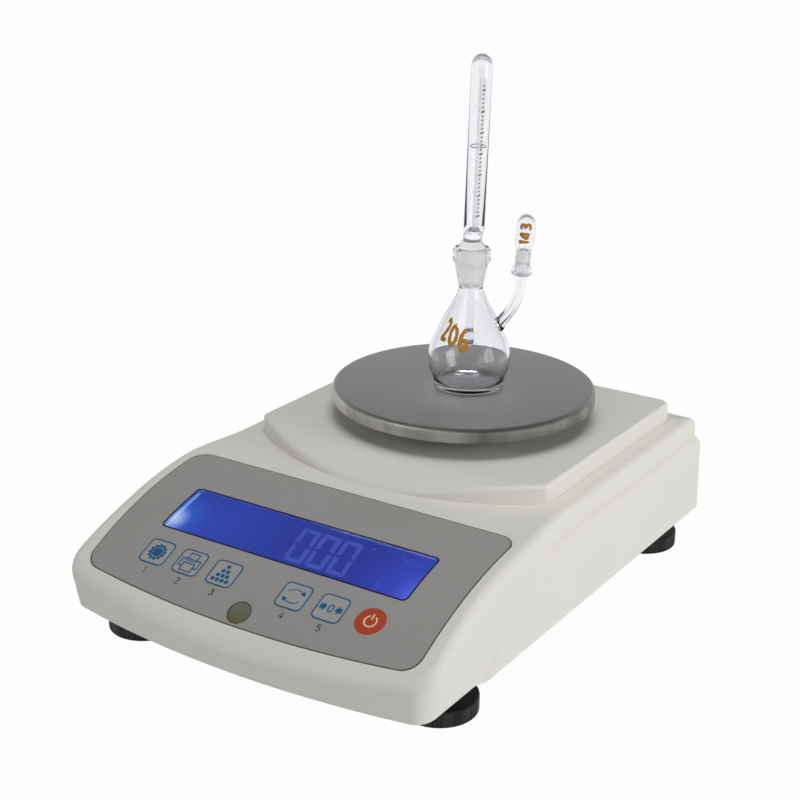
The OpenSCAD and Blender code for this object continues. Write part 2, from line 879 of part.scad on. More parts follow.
board_w = 110;
board_l = 70;
board_y = -35;
module main_board() {
    color([0.10, 0.35, 0.18])
    translate([0, board_y, board_z])
        difference() {
            rounded_block(board_w, board_l, 2, 0, board_t);
            for (s = standoffs)
                translate([s.x, s.y - board_y, -1])
                    cylinder(r = 1.5, h = 4);
        }
}

module board_parts() {
    top = board_z + board_t;
    color([0.15, 0.15, 0.16])
    union() {
        translate([-8, -48, top]) cube([16, 16, 2]);
        translate([20, -22, top]) cube([12, 8, 1.8]);
        translate([-36, -30, top]) cube([10, 10, 8]);
        translate([-10, -68, top]) cube([20, 6, 6]);
        translate([14, -6, top]) cube([12, 5, 6]);
        for (x = [-44, -30])
            translate([x, -48, top])
                cylinder(r = 4, h = 10);
        for (x = [34, 41])
            translate([x, -40, top])
                cylinder(r = 2.5, h = 7);
    }
}

module board_screws() {
    color([0.75, 0.75, 0.77])
    for (s = standoffs)
        translate([s.x, s.y, board_z + board_t + 1.8])
            rotate([180, 0, 0])
                screw(2.8, 1.8, 1.2 - run_gap, 6);
}

port_face = rear_y - 0.4;
port_back = rear_y - wall_t - 4;
module port_board() {
    color([0.10, 0.35, 0.18])
    translate([-55, port_back - board_t, base_top])
        difference() {
            cube([110, board_t, 22]);
            for (side = [-1, 1])
                translate([55 + serial_x + side * jackscrew_x, -1, port_z - base_top])
                    rotate([-90, 0, 0])
                        cylinder(r = 1.6, h = 6);
        }
}

module serial_port() {
    color([0.75, 0.76, 0.78])
    translate([serial_x, 0, port_z])
        rotate([-90, 0, 0])
            difference() {
                union() {
                    rounded_block(31, 12.5, 1.5, port_back, port_back + 3.4);
                    rounded_block(18, 10, 2.5, port_back, port_face);
                }
                rounded_block(16.6, 8.6, 1.8, port_face - 0.6, port_face + 5);
                for (side = [-1, 1])
                    translate([side * jackscrew_x, 0, 0])
                        cylinder(r = 1.6, h = port_face + 5);
                for (i = [-2 : 2])
                    translate([i * 2.77, 1.42, port_face - 5])
                        cylinder(r = 0.55, h = 6);
                for (i = [-1.5 : 1.5])
                    translate([i * 2.77, -1.42, port_face - 5])
                        cylinder(r = 0.55, h = 6);
            }
}

module serial_jackscrews() {
    color([0.80, 0.80, 0.82])
    for (side = [-1, 1])
        translate([serial_x + side * jackscrew_x, 0, port_z])
            rotate([-90, 0, 0])
                difference() {
                    union() {
                        translate([0, 0, port_back + 3.4])
                            cylinder(r = 2.9, h = port_face - port_back - 3.4, $fn = 6);
                        translate([0, 0, port_back - board_t - 2])
                            cylinder(r = 1.5, h = 10);
                    }
                    translate([0, 0, port_face - 5.5])
                        cylinder(r = 1.1, h = 10);
                }
}

module dc_jack() {
    color([0.08, 0.08, 0.09])
    translate([jack_x, 0, port_z])
        rotate([-90, 0, 0])
            difference() {
                union() {
                    cylinder(r = 4.9, h = port_face);
                    translate([-5.5, -5.5, 0])
                        cube([11, 11, rear_y - wall_t - 0.5]);
                }
                translate([0, 0, -1])
                    cube([40, 40, 2 * (port_back + 1)], center = true);
                difference() {
                    translate([0, 0, port_back + 1])
                        cylinder(r = 3.2, h = 40);
                    cylinder(r = 1.05, h = port_face - 0.5);
                }
            }
}

// Flat ribbon from the display's board down to the main board.
ribbon_y = -65.4;
window_angle = film_angle + window_s / panel_r * 180 / PI;
ribbon_reach = panel_r - display_board_top - board_t + (ribbon_y - curve_y) * sin(window_angle);
module display_ribbon() {
    low = board_z + board_t + 6;
    color([0.75, 0.75, 0.72])
    translate([-8, ribbon_y, low])
        cube([16, 0.8, curve_z + ribbon_reach / cos(window_angle) - low - 0.02]);
}

// The load cell's flat four-wire lead: along the cell's side, across, and down to its connector.
module cell_lead() {
    wide = 5;
    thin = 1.2;
    side = cell_w / 2 + fit_gap;
    z = cell_z + 6;
    y = -4;
    low = board_z + board_t + 6;
    color([0.45, 0.45, 0.46])
    union() {
        translate([side, y, z])
            cube([thin, pan_y + 20 - y, wide]);
        translate([side, y, z])
            cube([20 + wide / 2 - side, thin, wide]);
        translate([20 - wide / 2, y, low])
            cube([wide, thin, z + wide - low]);
    }
}

// ---------------------------------------------------------------- weighing chain

cell_front = pan_y - cell_l / 2;
cell_rear = pan_y + cell_l / 2;
fixed_y = cell_rear - cell_end / 2;
free_y = cell_front + cell_end / 2;

module cell_block() {
    color([0.72, 0.73, 0.75])
    difference() {
        translate([-cell_w / 2, cell_rear - cell_end, base_top])
            cube([cell_w, cell_end, block_h]);
        for (y = [-6, 6])
            translate([0, fixed_y + y, base_top - 1])
                cylinder(r = 2.6, h = block_h + 2);
    }
}

// A single-point cell: a bar with a double hole that makes it bend like a parallelogram.
module load_cell() {
    color([0.80, 0.81, 0.83])
    difference() {
        translate([-cell_w / 2, cell_front, cell_z])
            cube([cell_w, cell_l, cell_h]);
        for (y = [-8, 8])
            translate([0, pan_y + y, cell_z + cell_h / 2])
                rotate([0, 90, 0])
                    cylinder(r = 7.6, h = cell_w + 2, center = true);
        translate([0, pan_y, cell_z + cell_h / 2])
            cube([cell_w + 2, 16, 6], center = true);
        for (y = [-6, 6]) {
            translate([0, fixed_y + y, cell_z - 1])
                cylinder(r = 2.5, h = 13);
            translate([0, free_y + y, cell_top - 12])
                cylinder(r = 2.5, h = 13);
        }
    }
}

module cell_screws() {
    color([0.45, 0.45, 0.47])
    for (y = [-6, 6])
        translate([0, fixed_y + y, base_z + 0.3])
            union() {
                cylinder(r = 4.2, h = 1.7);
                cylinder(r = 2.5 - run_gap, h = cell_z - base_z + 10);
            }
}

module overload_stop() {
    color([0.80, 0.65, 0.30])
    translate([0, free_y, base_z])
        union() {
            cylinder(r = 2.5, h = cell_z - base_z - weigh_travel - 0.05);
            translate([0, 0, base_t])
                cylinder(r = 4.6, h = 3, $fn = 6);
        }
}

module carrier_arm() {
    color([0.72, 0.73, 0.75])
    difference() {
        union() {
            translate([-cell_w / 2, cell_front, cell_top])
                cube([cell_w, cell_end, arm_block_h]);
            translate([-cell_w / 2, cell_front, cell_top + arm_block_h])
                cube([cell_w, pan_y + 12.5 - cell_front, arm_t]);
        }
        for (y = [-6, 6]) {
            translate([0, free_y + y, cell_top - 1])
                cylinder(r = 2.6, h = 20);
            translate([0, free_y + y, arm_top - 2.4])
                cylinder(r = 4.5, h = 5);
        }
        translate([0, pan_y, cell_top])
            cylinder(r = 2.5, h = 20);
    }
}

module arm_screws() {
    color([0.45, 0.45, 0.47])
    for (y = [-6, 6])
        translate([0, free_y + y, 0])
            union() {
                translate([0, 0, arm_top - 2.4])
                    cylinder(r = 4.2, h = 2.2);
                translate([0, 0, cell_top - 9])
                    cylinder(r = 2.4, h = arm_top - 2.4 - cell_top + 9.1);
            }
}

module load_post() {
    color([0.78, 0.79, 0.81])
    translate([0, pan_y, 0])
        union() {
            translate([0, 0, arm_top])
                cylinder(r = post_r, h = spider_bottom - 6 - arm_top);
            translate([0, 0, spider_bottom - 7])
                cylinder(r = 4, h = spider_top - spider_bottom + 6);
            translate([0, 0, arm_top - arm_t + 0.5])
                cylinder(r = 2.5 - run_gap, h = arm_t);
        }
}

module pan_spider() {
    color([0.70, 0.71, 0.73])
    translate([0, pan_y, 0])
        difference() {
            union() {
                translate([0, 0, spider_bottom - 6])
                    cylinder(r = hub_r, h = spider_t + 6);
                for (a = [45 : 90 : 315])
                    rotate(a)
                        translate([0, -5, spider_bottom])
                            cube([spider_reach - 5, 10, spider_t]);
                for (a = [45 : 90 : 315])
                    rotate(a)
                        translate([spider_reach - 5, 0, spider_bottom])
                            cylinder(r = 5, h = spider_t);
            }
            translate([0, 0, spider_bottom - 7])
                cylinder(r = 4 + run_gap, h = spider_top - spider_bottom + 6.05);
        }
}

module pan_buffers() {
    color([0.10, 0.10, 0.10])
    for (a = [45 : 90 : 315])
        translate([0, pan_y, 0])
            rotate(a)
                translate([buffer_at, 0, spider_top])
                    cylinder(r = buffer_r, h = buffer_h);
}

// The pan: a pressed dish with a turned-down rim and a rolled edge.
pan_edge_r = 2.1;
module pan() {
    r = pan_d / 2;
    color([0.62, 0.62, 0.61])
    translate([0, pan_y, 0])
        rotate_extrude($fn = 96)
            polygon(concat(
                [[0, pan_top - pan_t], [r - pan_t, pan_top - pan_t]],
                [[r - pan_t, pan_bottom], [r, pan_bottom]],
                [for (a = [0 : 15 : 90])
                    [r - pan_edge_r + pan_edge_r * cos(a), pan_top - pan_edge_r + pan_edge_r * sin(a)]],
                [[0, pan_top]]
            ));
}

// ---------------------------------------------------------------- pycnometer

module at_flask() {
    translate([flask_x, flask_y, pan_top])
        rotate(arm_turn)
            children();
}

// The side arm's elbow, turned outwards by the given angle.
module at_elbow(lean) {
    translate([arm_out, 0, elbow_z])
        rotate([0, lean, 0])
            children();
}

// The side arm's upright part, with heights above the pan kept along it.
module at_upright() {
    at_elbow(arm_lean)
        translate([0, 0, -elbow_z])
            children();
}

// Outer profile of the flask as [radius, height], from the foot to the mouth.
belly = flask_r;
flask_outer = [
    [belly * 0.80, 0], [belly * 0.845, 0.5], [belly * 0.86, 2], [belly * 0.90, 5.5], [belly * 0.955, 8.5],
    [belly * 0.99, 12], [belly, 15], [belly * 0.985, 18], [belly * 0.93, 22], [belly * 0.83, 26.5],
    [belly * 0.66, 33.6], [belly * 0.50, 39.5], [belly * 0.37, 44.5], [throat_r + 1.3, 48.5],
    [throat_r + 1.2, throat_z]
];
flask_lip = [
    [mouth_r + 1.5, flask_h - 8], [mouth_r + 2.4, flask_h - 6.5], [mouth_r + 2.5, flask_h - 2],
    [mouth_r + 2.1, flask_h - 0.5], [mouth_r + 1.4, flask_h]
];
flask_inner = [
    [mouth_r, flask_h], [throat_r, throat_z], [throat_r - 0.1, 48.5], [belly * 0.37 - glass_t, 44],
    [belly * 0.50 - glass_t, 39], [belly * 0.66 - glass_t, 33], [belly * 0.83 - glass_t, 26],
    [belly * 0.93 - glass_t, 21.6], [belly * 0.985 - glass_t, 17.8], [belly - glass_t, 15],
    [belly * 0.99 - glass_t, 12], [belly * 0.955 - glass_t, 9], [belly * 0.90 - glass_t, 6.2],
    [belly * 0.84 - glass_t, 3], [belly * 0.78 - glass_t, 1.9], [0, 2.3]
];

// The arm's tube: a slanting foot rooted in the flask, an elbow and the upright.
module arm_tube(r, root, top) {
    union() {
        at_elbow(arm_slope)
            mirror([0, 0, 1])
                cylinder(r = r, h = root);
        at_elbow(arm_lean) {
            sphere(r = r * 1.03);
            cylinder(r = r, h = top - elbow_z);
        }
    }
}

module flask() {
    color([0.86, 0.90, 0.90, 0.35])
    at_flask()
        difference() {
            union() {
                rotate_extrude()
                    polygon(concat([[0, 0]], flask_outer, flask_lip, [[0, flask_h]]));
                arm_tube(arm_r, arm_root, cap_z);
                at_upright()
                    translate([0, 0, cap_z])
                        cylinder(r1 = cone_foot_r, r2 = cone_tip_r, h = cone_top - cap_z);
            }
            rotate_extrude()
                polygon(concat(flask_inner, [[0, flask_h + 1], [mouth_r, flask_h + 1]]));
            arm_tube(arm_bore_r, arm_root + 3, cone_top + 1);
        }
}

// The thermometer: a ground stopper with its stem and bulb below and a scale tube above.
stem_r_glass = 1.6;
bulb_low = 19.6;
bulb_high = 27;
bulb_r = 2.3;
waist_z = flask_h + 4.5;
waist_r = 4.3;
tube_r = tube_d / 2;
tube_step = 0.6;
tube_wall = 0.9;

module at_tube() {
    translate([tube_step, 0, waist_z])
        rotate([0, tube_lean, 0])
            translate([0, 0, -waist_z])
                children();
}

module thermometer() {
    seat = 0.06;
    plug_foot = throat_z + 0.5;
    color([0.85, 0.88, 0.92, 0.35])
    at_flask()
        difference() {
            union() {
                translate([0, 0, bulb_low + 2])
                    cylinder(r = stem_r_glass, h = flask_h - bulb_low - 2);
                translate([0, 0, bulb_low])
                    rotate_extrude()
                        polygon([
                            [0, 0], [bulb_r * 0.6, 0.3], [bulb_r * 0.93, 1.2], [bulb_r, 2.4],
                            [bulb_r, bulb_high - bulb_low - 0.6], [stem_r_glass, bulb_high - bulb_low + 1.4],
                            [0, bulb_high - bulb_low + 1.4]
                        ]);
                translate([0, 0, plug_foot])
                    cylinder(
                        r1 = throat_r + (mouth_r - throat_r) * 0.5 / 19.5 - seat,
                        r2 = mouth_r - seat,
                        h = flask_h - plug_foot
                    );
                translate([0, 0, flask_h])
                    rotate_extrude()
                        polygon([
                            [0, 0], [mouth_r - seat, 0], [mouth_r - 0.4, 1], [waist_r + 0.9, 2.2],
                            [waist_r, waist_z - flask_h], [waist_r, waist_z - flask_h + 2],
                            [0, waist_z - flask_h + 2]
                        ]);
                at_tube()
                    rotate_extrude()
                        polygon(concat(
                            [[0, waist_z], [waist_r, waist_z], [waist_r, waist_z + 0.8], [tube_r, waist_z + 4]],
                            [for (a = [0 : 15 : 90])
                                [tube_r * cos(a), tube_top - tube_r + tube_r * sin(a)]]
                        ));
            }
            at_tube()
                translate([0, 0, waist_z + 4])
                    union() {
                        cylinder(r = tube_r - tube_wall, h = tube_top - tube_r - waist_z - 4);
                        translate([0, 0, tube_top - tube_r - waist_z - 4])
                            sphere(r = tube_r - tube_wall);
                    }
        }
}

// A flat glass scale with a round capillary along its face.
scale_low = waist_z + 4;
scale_high = tube_top - 11;
module thermometer_scale() {
    color([0.93, 0.94, 0.92])
    at_flask()
        at_tube()
            union() {
                rotate(-120)
                    translate([-2.4, 0.7, scale_low])
                        cube([4.8, 0.8, scale_high - scale_low]);
                translate([0, 0, scale_low])
                    cylinder(r = 1.1, h = scale_high - scale_low + 4);
            }
}

module side_arm_cap() {
    room_r = 3.4;
    color([0.86, 0.90, 0.90, 0.35])
    at_flask()
        at_upright()
            rotate_extrude()
                polygon(concat(
                    [[cone_foot_r + 0.06, cap_z + 0.3], [4.2, cap_z + 0.3], [4.9, cap_z + 1.6]],
                    [[4.9, cap_z + 3.6], [4.3, cap_z + 5], [3.7, cap_z + 5.8], [3.65, cone_top]],
                    [[4.45, cone_top + 1.6], [4.45, cone_top + 13]],
                    [for (a = [15 : 15 : 90]) [4.45 * cos(a), cone_top + 13 + 4.45 * sin(a)]],
                    [for (a = [90 : -15 : 0]) [room_r * cos(a), cone_top + 13 + room_r * sin(a)]],
                    [[room_r, cone_top + 1.8], [cone_tip_r + 0.06, cone_top + 0.3]]
                ));
}

// ---------------------------------------------------------------- the pieces, one node each

upper_cover();
base_plate();
cover_screws();
foot_inserts();
foot_pad(0);  // foot_pad_fl
foot_pad(1);  // foot_pad_fr
foot_pad(2);  // foot_pad_rl
foot_pad(3);  // foot_pad_rr
foot_knob(0);  // foot_knob_fl
foot_knob(1);  // foot_knob_fr
foot_knob(2);  // foot_knob_rl
foot_knob(3);  // foot_knob_rr
foot_stud(0);  // foot_stud_fl
foot_stud(1);  // foot_stud_fr
foot_stud(2);  // foot_stud_rl
foot_stud(3);  // foot_stud_rr
panel_film();
display_window();
lcd_glass();
lcd_bezel();
backlight();
display_board();
display_screws();
panel_key(0);  // key_1
panel_key(1);  // key_2
panel_key(2);  // key_3
panel_key(3);  // key_4
panel_key(4);  // key_5
power_key();
key_board();
key_switches();
key_board_screws();
level_holder();
level_vial();
level_liquid();
main_board();
board_parts();
board_screws();
port_board();
serial_port();
serial_jackscrews();
dc_jack();
display_ribbon();
cell_lead();
cell_block();
load_cell();
cell_screws();
overload_stop();
carrier_arm();
arm_screws();
load_post();
pan_spider();
pan_buffers();
pan();
flask();
thermometer();
thermometer_scale();
side_arm_cap();
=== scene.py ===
"""Benchtop density meter: an electronic pan balance with a glass thermometer pycnometer on its pan.
The script follows the object as it is put together, from the bench up. Metres, front facing -Y."""
import math

import bmesh
import bpy
from mathutils import Matrix, Vector


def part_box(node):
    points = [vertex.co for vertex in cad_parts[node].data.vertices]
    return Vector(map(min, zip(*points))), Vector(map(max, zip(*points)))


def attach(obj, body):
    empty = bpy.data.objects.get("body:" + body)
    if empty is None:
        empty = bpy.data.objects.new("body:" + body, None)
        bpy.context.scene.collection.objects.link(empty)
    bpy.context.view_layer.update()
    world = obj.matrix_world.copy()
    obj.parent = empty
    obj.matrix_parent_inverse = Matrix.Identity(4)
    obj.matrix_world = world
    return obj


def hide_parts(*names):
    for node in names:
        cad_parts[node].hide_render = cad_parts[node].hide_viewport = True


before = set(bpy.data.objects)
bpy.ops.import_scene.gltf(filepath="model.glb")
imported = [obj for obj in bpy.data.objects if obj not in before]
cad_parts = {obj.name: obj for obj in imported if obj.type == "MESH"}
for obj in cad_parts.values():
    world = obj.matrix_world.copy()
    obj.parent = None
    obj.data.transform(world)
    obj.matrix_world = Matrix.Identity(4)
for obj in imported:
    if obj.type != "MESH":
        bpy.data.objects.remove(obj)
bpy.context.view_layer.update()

# ---------------------------------------------------------------- the photograph's viewpoint
# The camera looks down at the instrument's front right corner from about 0.78 m away.
# Its place and turn were solved from the film's corners, the pan's rim and the feet.
view_az = math.radians(32.988)
view_el = math.radians(20.196)
view_roll = math.radians(0.689)
view_from = Vector((0.3768, -0.5847, 0.3566))
toward_camera = Vector((
    math.sin(view_az) * math.cos(view_el), -math.cos(view_az) * math.cos(view_el), math.sin(view_el)))
level_right = (-toward_camera).cross(Vector((0, 0, 1))).normalized()
level_up = level_right.cross(-toward_camera)
view_right = level_right * math.cos(view_roll) + level_up * math.sin(view_roll)
view_up = level_up * math.cos(view_roll) - level_right * math.sin(view_roll)
camera = bpy.data.objects.new("photo_camera", bpy.data.cameras.new("photo_camera"))
camera.data.lens = 71.33
camera.data.sensor_width = 36
camera.data.clip_end = 20
camera.matrix_world = Matrix((
    (view_right.x, view_up.x, toward_camera.x, view_from.x),
    (view_right.y, view_up.y, toward_camera.y, view_from.y),
    (view_right.z, view_up.z, toward_camera.z, view_from.z),
    (0, 0, 0, 1)))
bpy.context.scene.collection.objects.link(camera)
bpy.context.scene.camera = camera
bpy.context.scene.view_settings.view_transform = "Standard"

# ---------------------------------------------------------------- bench, backdrop and light
# A seamless pale sweep under soft studio light. The brightest soft box stands to the right,
# so the right wall is the lightest side of the housing, as in the photograph.


def linear(hex_colour):
    """An sRGB hex colour as the linear RGBA that the shaders work in."""
    parts = [int(hex_colour[i:i + 2], 16) / 255 for i in (1, 3, 5)]
    return tuple(p / 12.92 if p <= 0.04045 else ((p + 0.055) / 1.055) ** 2.4 for p in parts) + (1.0,)


def add_node(tree, kind, settings=None, **links):
    """Adds one shader node: settings are its properties or socket values, links are its inputs' sources.
    A name starting with i is an input's number."""
    made = tree.nodes.new("ShaderNode" + kind)
    for key, value in (settings or {}).items():
        if isinstance(key, str) and hasattr(made, key) and key not in made.inputs:
            setattr(made, key, value)
        else:
            made.inputs[key].default_value = value
    for key, source in links.items():
        name = key.replace("_", " ")
        target = made.inputs[int(key[1:])] if key[0] == "i" and key[1:].isdigit() else made.inputs[name]
        tree.links.new(source, target)
    return made


def new_material(name):
    """An empty node material, returned with its tree and output node."""
    made = bpy.data.materials.new(name)
    made.use_nodes = True
    made.node_tree.nodes.clear()
    return made, made.node_tree, made.node_tree.nodes.new("ShaderNodeOutputMaterial")


def seen_by_eye(tree, gloss):
    """1 where a ray comes from the camera or a refraction, and gloss where it comes from a reflection."""
    path = add_node(tree, "LightPath")
    shine = add_node(tree, "Math", {"operation": "MULTIPLY", 1: gloss}, i0=path.outputs["Is Glossy Ray"])
    seen = add_node(tree, "Math", {"operation": "MAXIMUM"},
                    i0=shine.outputs[0], i1=path.outputs["Is Transmission Ray"])
    return add_node(tree, "Math", {"operation": "MAXIMUM"},
                    i0=path.outputs["Is Camera Ray"], i1=seen.outputs[0]).outputs[0]


sweep_paper, tree, out = new_material("sweep_paper")
paper = add_node(tree, "BsdfDiffuse", {"Color": linear("#e9e9ea")})
glow = add_node(tree, "Emission", {"Color": (1, 1, 1, 1), "Strength": 1.0})
share = add_node(tree, "Math", {"operation": "MULTIPLY", 1: 0.97}, i0=seen_by_eye(tree, 0.45))
both = add_node(tree, "MixShader", None, i0=share.outputs[0], i1=paper.outputs[0], i2=glow.outputs[0])
tree.links.new(both.outputs[0], out.inputs["Surface"])
bench_mesh = bpy.data.meshes.new("bench")
bench_mesh.from_pydata([(-3, -3, 0), (3, -3, 0), (3, 3, 0), (-3, 3, 0)], [], [(0, 1, 2, 3)])
bench_mesh.materials.append(sweep_paper)
bench = bpy.data.objects.new("bench", bench_mesh)
bpy.context.scene.collection.objects.link(bench)

world = bpy.data.worlds.new("studio")
bpy.context.scene.world = world
world.use_nodes = True
tree = world.node_tree
tree.nodes.clear()
# The room is pale round the horizon and dim overhead, as a studio's ceiling is.
way = add_node(tree, "TexCoord")
height = add_node(tree, "SeparateXYZ", None, Vector=way.outputs["Generated"])
dimming = add_node(tree, "MapRange", {1: 0.15, 2: 0.65, 3: 0.62, 4: 0.1}, Value=height.outputs["Z"])
path = add_node(tree, "LightPath")
shared = add_node(tree, "MapRange", {3: 1.0, 4: 0.6}, Value=path.outputs["Is Diffuse Ray"])
level = add_node(tree, "Math", {"operation": "MULTIPLY"}, i0=dimming.outputs[0], i1=shared.outputs[0])
room = add_node(tree, "Background", {"Color": linear("#f6f7fa")}, Strength=level.outputs[0])
white = add_node(tree, "Background", {"Color": (1, 1, 1, 1), "Strength": 1.0})
both = add_node(tree, "MixShader", None,
                i0=path.outputs["Is Camera Ray"], i1=room.outputs[0], i2=white.outputs[0])
tree.links.new(both.outputs[0], add_node(tree, "OutputWorld").inputs["Surface"])


def soft_box(name, place, aim, size, power):
    """A square soft box of the given side, turned towards a point."""
    lamp = bpy.data.lights.new(name, "AREA")
    lamp.size = size
    lamp.energy = power
    box = bpy.data.objects.new(name, lamp)
    box.location = place
    box.rotation_euler = (Vector(aim) - Vector(place)).to_track_quat("-Z", "Y").to_euler()
    bpy.context.scene.collection.objects.link(box)
    return box


soft_box("soft_box_right", (1.5, 0.1, 0.35), (0, 0, 0.08), 0.8, 12.4).visible_glossy = False
soft_box("soft_box_above", (0.1, 0.0, 1.6), (0, 0, 0.08), 1.0, 12.2).visible_glossy = False
soft_box("soft_box_front", (-0.5, -1.6, 0.9), (0, 0, 0.08), 1.0, 5.0)

# ---------------------------------------------------------------- levelling feet
# Four feet: a black moulded knob with a ribbed rim on a zinc-plated M8 stud, and a rubber pad
# pressed into its underside. The studs screw into brass inserts in the base.


def give(material, *names):
    """Puts one material on the CAD nodes of these names."""
    for name in names:
        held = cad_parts[name]
        if not held.data.materials:
            held.data.materials.append(material)
        for place in held.material_slots:
            place.link = "OBJECT"
            place.material = material


def in_mm(tree):
    """The piece's own place in the frame, in millimetres, for patterns of a real size."""
    spot = add_node(tree, "TexCoord")
    scaled = add_node(tree, "VectorMath", {"operation": "SCALE", "Scale": 1000.0},
                      i0=spot.outputs["Object"])
    return scaled.outputs[0]


def grained(name, colour, shade, roughness, grain_mm, depth_mm, metallic=0.0, ior=None):
    """A moulded or machined surface: a fine grain in its colour, gloss and relief, of a real size."""
    made, tree, out = new_material(name)
    spread = 0.06
    grain = add_node(tree, "TexNoise", {"Scale": 1.0 / grain_mm, "Detail": 3.0}, Vector=in_mm(tree))
    cloud = add_node(tree, "TexNoise", {"Scale": 0.02, "Detail": 2.0}, Vector=in_mm(tree))
    tone = add_node(tree, "Mix", {"data_type": "RGBA", 6: linear(colour), 7: linear(shade)},
                    Factor=cloud.outputs["Fac"])
    gloss = add_node(tree, "MapRange", {3: roughness - spread, 4: roughness + spread},
                     Value=grain.outputs["Fac"])
    relief = add_node(tree, "Bump", {"Strength": 0.5, "Distance": depth_mm / 1000.0},
                      Height=grain.outputs["Fac"])
    skin = add_node(tree, "BsdfPrincipled", {"Metallic": metallic},
                    Base_Color=tone.outputs[2], Roughness=gloss.outputs[0], Normal=relief.outputs[0])
    if ior:
        skin.inputs["IOR"].default_value = ior
    tree.links.new(skin.outputs[0], out.inputs["Surface"])
    return made


# Nylon of this kind is matt black with a dull sheen on its rounded edges.
black_nylon = grained("black_nylon", "#101013", "#151518", 0.5, 0.7, 0.04, ior=1.53)
# Rubber is a little greyer and takes no sheen.
pad_rubber = grained("pad_rubber", "#1b1b1b", "#232323", 0.8, 0.5, 0.05, ior=1.52)
# Zinc plating is a bluish bright metal, brass a yellow one; both are turned.
zinc_plate = grained("zinc_plated_steel", "#b9bcc0", "#a9adb3", 0.3, 0.8, 0.01, metallic=1.0)
turned_brass = grained("turned_brass", "#c9a24e", "#b8923f", 0.3, 0.8, 0.01, metallic=1.0)
for corner in ("fl", "fr", "rl", "rr"):
    give(black_nylon, "foot_knob_" + corner)
    give(pad_rubber, "foot_pad_" + corner)
    give(zinc_plate, "foot_stud_" + corner)
give(turned_brass, "foot_inserts")

# ---------------------------------------------------------------- base plate
# A flat injection-moulded ABS plate with ribs and standoffs, screwed up into the cover.
# Moulded grey-white ABS with a fine spark-eroded grain.
base_abs = grained("base_plate_abs", "#d6d5cf", "#cfcec8", 0.5, 0.6, 0.03, ior=1.54)
give(base_abs, "base_plate")
give(zinc_plate, "cover_screws", "cell_screws", "arm_screws", "board_screws", "display_screws",
     "key_board_screws", "overload_stop", "serial_jackscrews")

# ---------------------------------------------------------------- upper cover
# One injection-moulded ABS shell: a deck that rolls down along a curved front panel, a proud skirt
# round the rear, and a raised platform under the pan. Its edges are rolled to a radius of 4.5 mm.
mm = 0.001
body_w, body_l, underside, deck_z = 195.0, 279.0, 22.0, 69.8
front_y, rear_y = -body_l / 2, body_l / 2
wall_t, edge_r = 2.8, 4.5
panel_r, curve_y = 186.0, front_y + 108.5
curve_z = deck_z - panel_r
film_angle = 14.0 / panel_r
skirt_z, skirt_arc_r = 58.0, 86.0
skirt_start_y, skirt_level_y = front_y + 53.5, front_y + 129.5
# How far the wall stands in from the plan: at a side and its skirt, at the nose and at the rear, and
# at the top edge beside the film and beside the platform.
side_in, skirt_in, nose_in, rear_in = 3.8, 1.5, 2.1, 3.5
beside_film_in, beside_platform_in = 2.2, 6.2


def blend_to(a, b, t):
    return a + (b - a) * t


def eased(t):
    c = max(0.0, min(1.0, t))
    return c * c * (3 - 2 * c)


def half_plan(w, yf, yr, bow, rc, rr, steps):
    """Right half of a plan with a bowed front and round corners: [x, y, outward x, outward y]."""
    half, bow_y = w / 2, yf + bow
    cx = half - rc
    cy = bow_y - math.sqrt((bow - rc) ** 2 - cx ** 2)
    meet = math.atan2(cy - bow_y, cx)
    bow_n, corner_n, side_n, rear_n = steps
    plan = [(0, yf, 0, -1)]
    for i in range(1, bow_n):
        a = blend_to(-math.pi / 2, meet, i / bow_n)
        plan.append((bow * math.cos(a), bow_y + bow * math.sin(a), math.cos(a), math.sin(a)))
    for i in range(corner_n + 1):
        a = blend_to(meet, 0, i / corner_n)
        plan.append((cx + rc * math.cos(a), cy + rc * math.sin(a), math.cos(a), math.sin(a)))
    for i in range(1, side_n):
        plan.append((half, blend_to(cy, yr - rr, i / side_n), 1, 0))
    for i in range(rear_n + 1):
        a = math.pi / 2 * i / rear_n
        plan.append((half - rr + rr * math.cos(a), yr - rr + rr * math.sin(a), math.cos(a), math.sin(a)))
    return plan


# Heights along the cover, and the wall's place at a point p of the plan.
def top_z(y):
    return deck_z if y > curve_y else curve_z + math.sqrt(panel_r ** 2 - (y - curve_y) ** 2)


def skirt_edge(y):
    back = skirt_level_y - y
    if back <= 0:
        return skirt_z
    return skirt_z - skirt_arc_r + math.sqrt(max(0.0, skirt_arc_r ** 2 - back * back))


def skirt_on(y):
    return eased((y - skirt_start_y + 4) / 8)


def wall_side(y):
    return blend_to(beside_film_in * eased((y - front_y - 5) / 50), beside_platform_in,
                    eased((y - front_y - 89) / 42))


def set_back(p, side, nose, rear):
    return blend_to(side, nose if p[3] < 0 else rear, p[3] * p[3])


def moved(p, d, z):
    return (p[0] - d * p[2], p[1] - d * p[3], z)


def foot_in(p):
    return set_back(p, blend_to(side_in, skirt_in, skirt_on(p[1])), nose_in, 0)


def wall_in(p):
    return set_back(p, wall_side(p[1]), 0, rear_in)


def lean_in(p):
    return set_back(p, side_in, nose_in, rear_in)


def shoulder_z(p):
    return blend_to(underside + 2, max(skirt_edge(p[1]), underside + 1) + 2.2, skirt_on(p[1]))


def shoulder_in(p):
    rise = (shoulder_z(p) - underside) / (top_z(p[1]) - edge_r - underside)
    return blend_to(lean_in(p), wall_in(p), rise)


def ledge_z(p):
    return blend_to(underside + 1, max(skirt_edge(p[1]) - 1.2, underside + 1.2), skirt_on(p[1]))


def ledge_in(p):
    return blend_to(foot_in(p) * 0.97, min(foot_in(p) + 0.8, shoulder_in(p) - 0.05), skirt_on(p[1]))


def top_ring(plan, inset, drop):
    ring = []
    for p in plan:
        q = moved(p, inset(p), 0)
        ring.append((q[0], q[1], top_z(q[1]) - drop))
    return ring


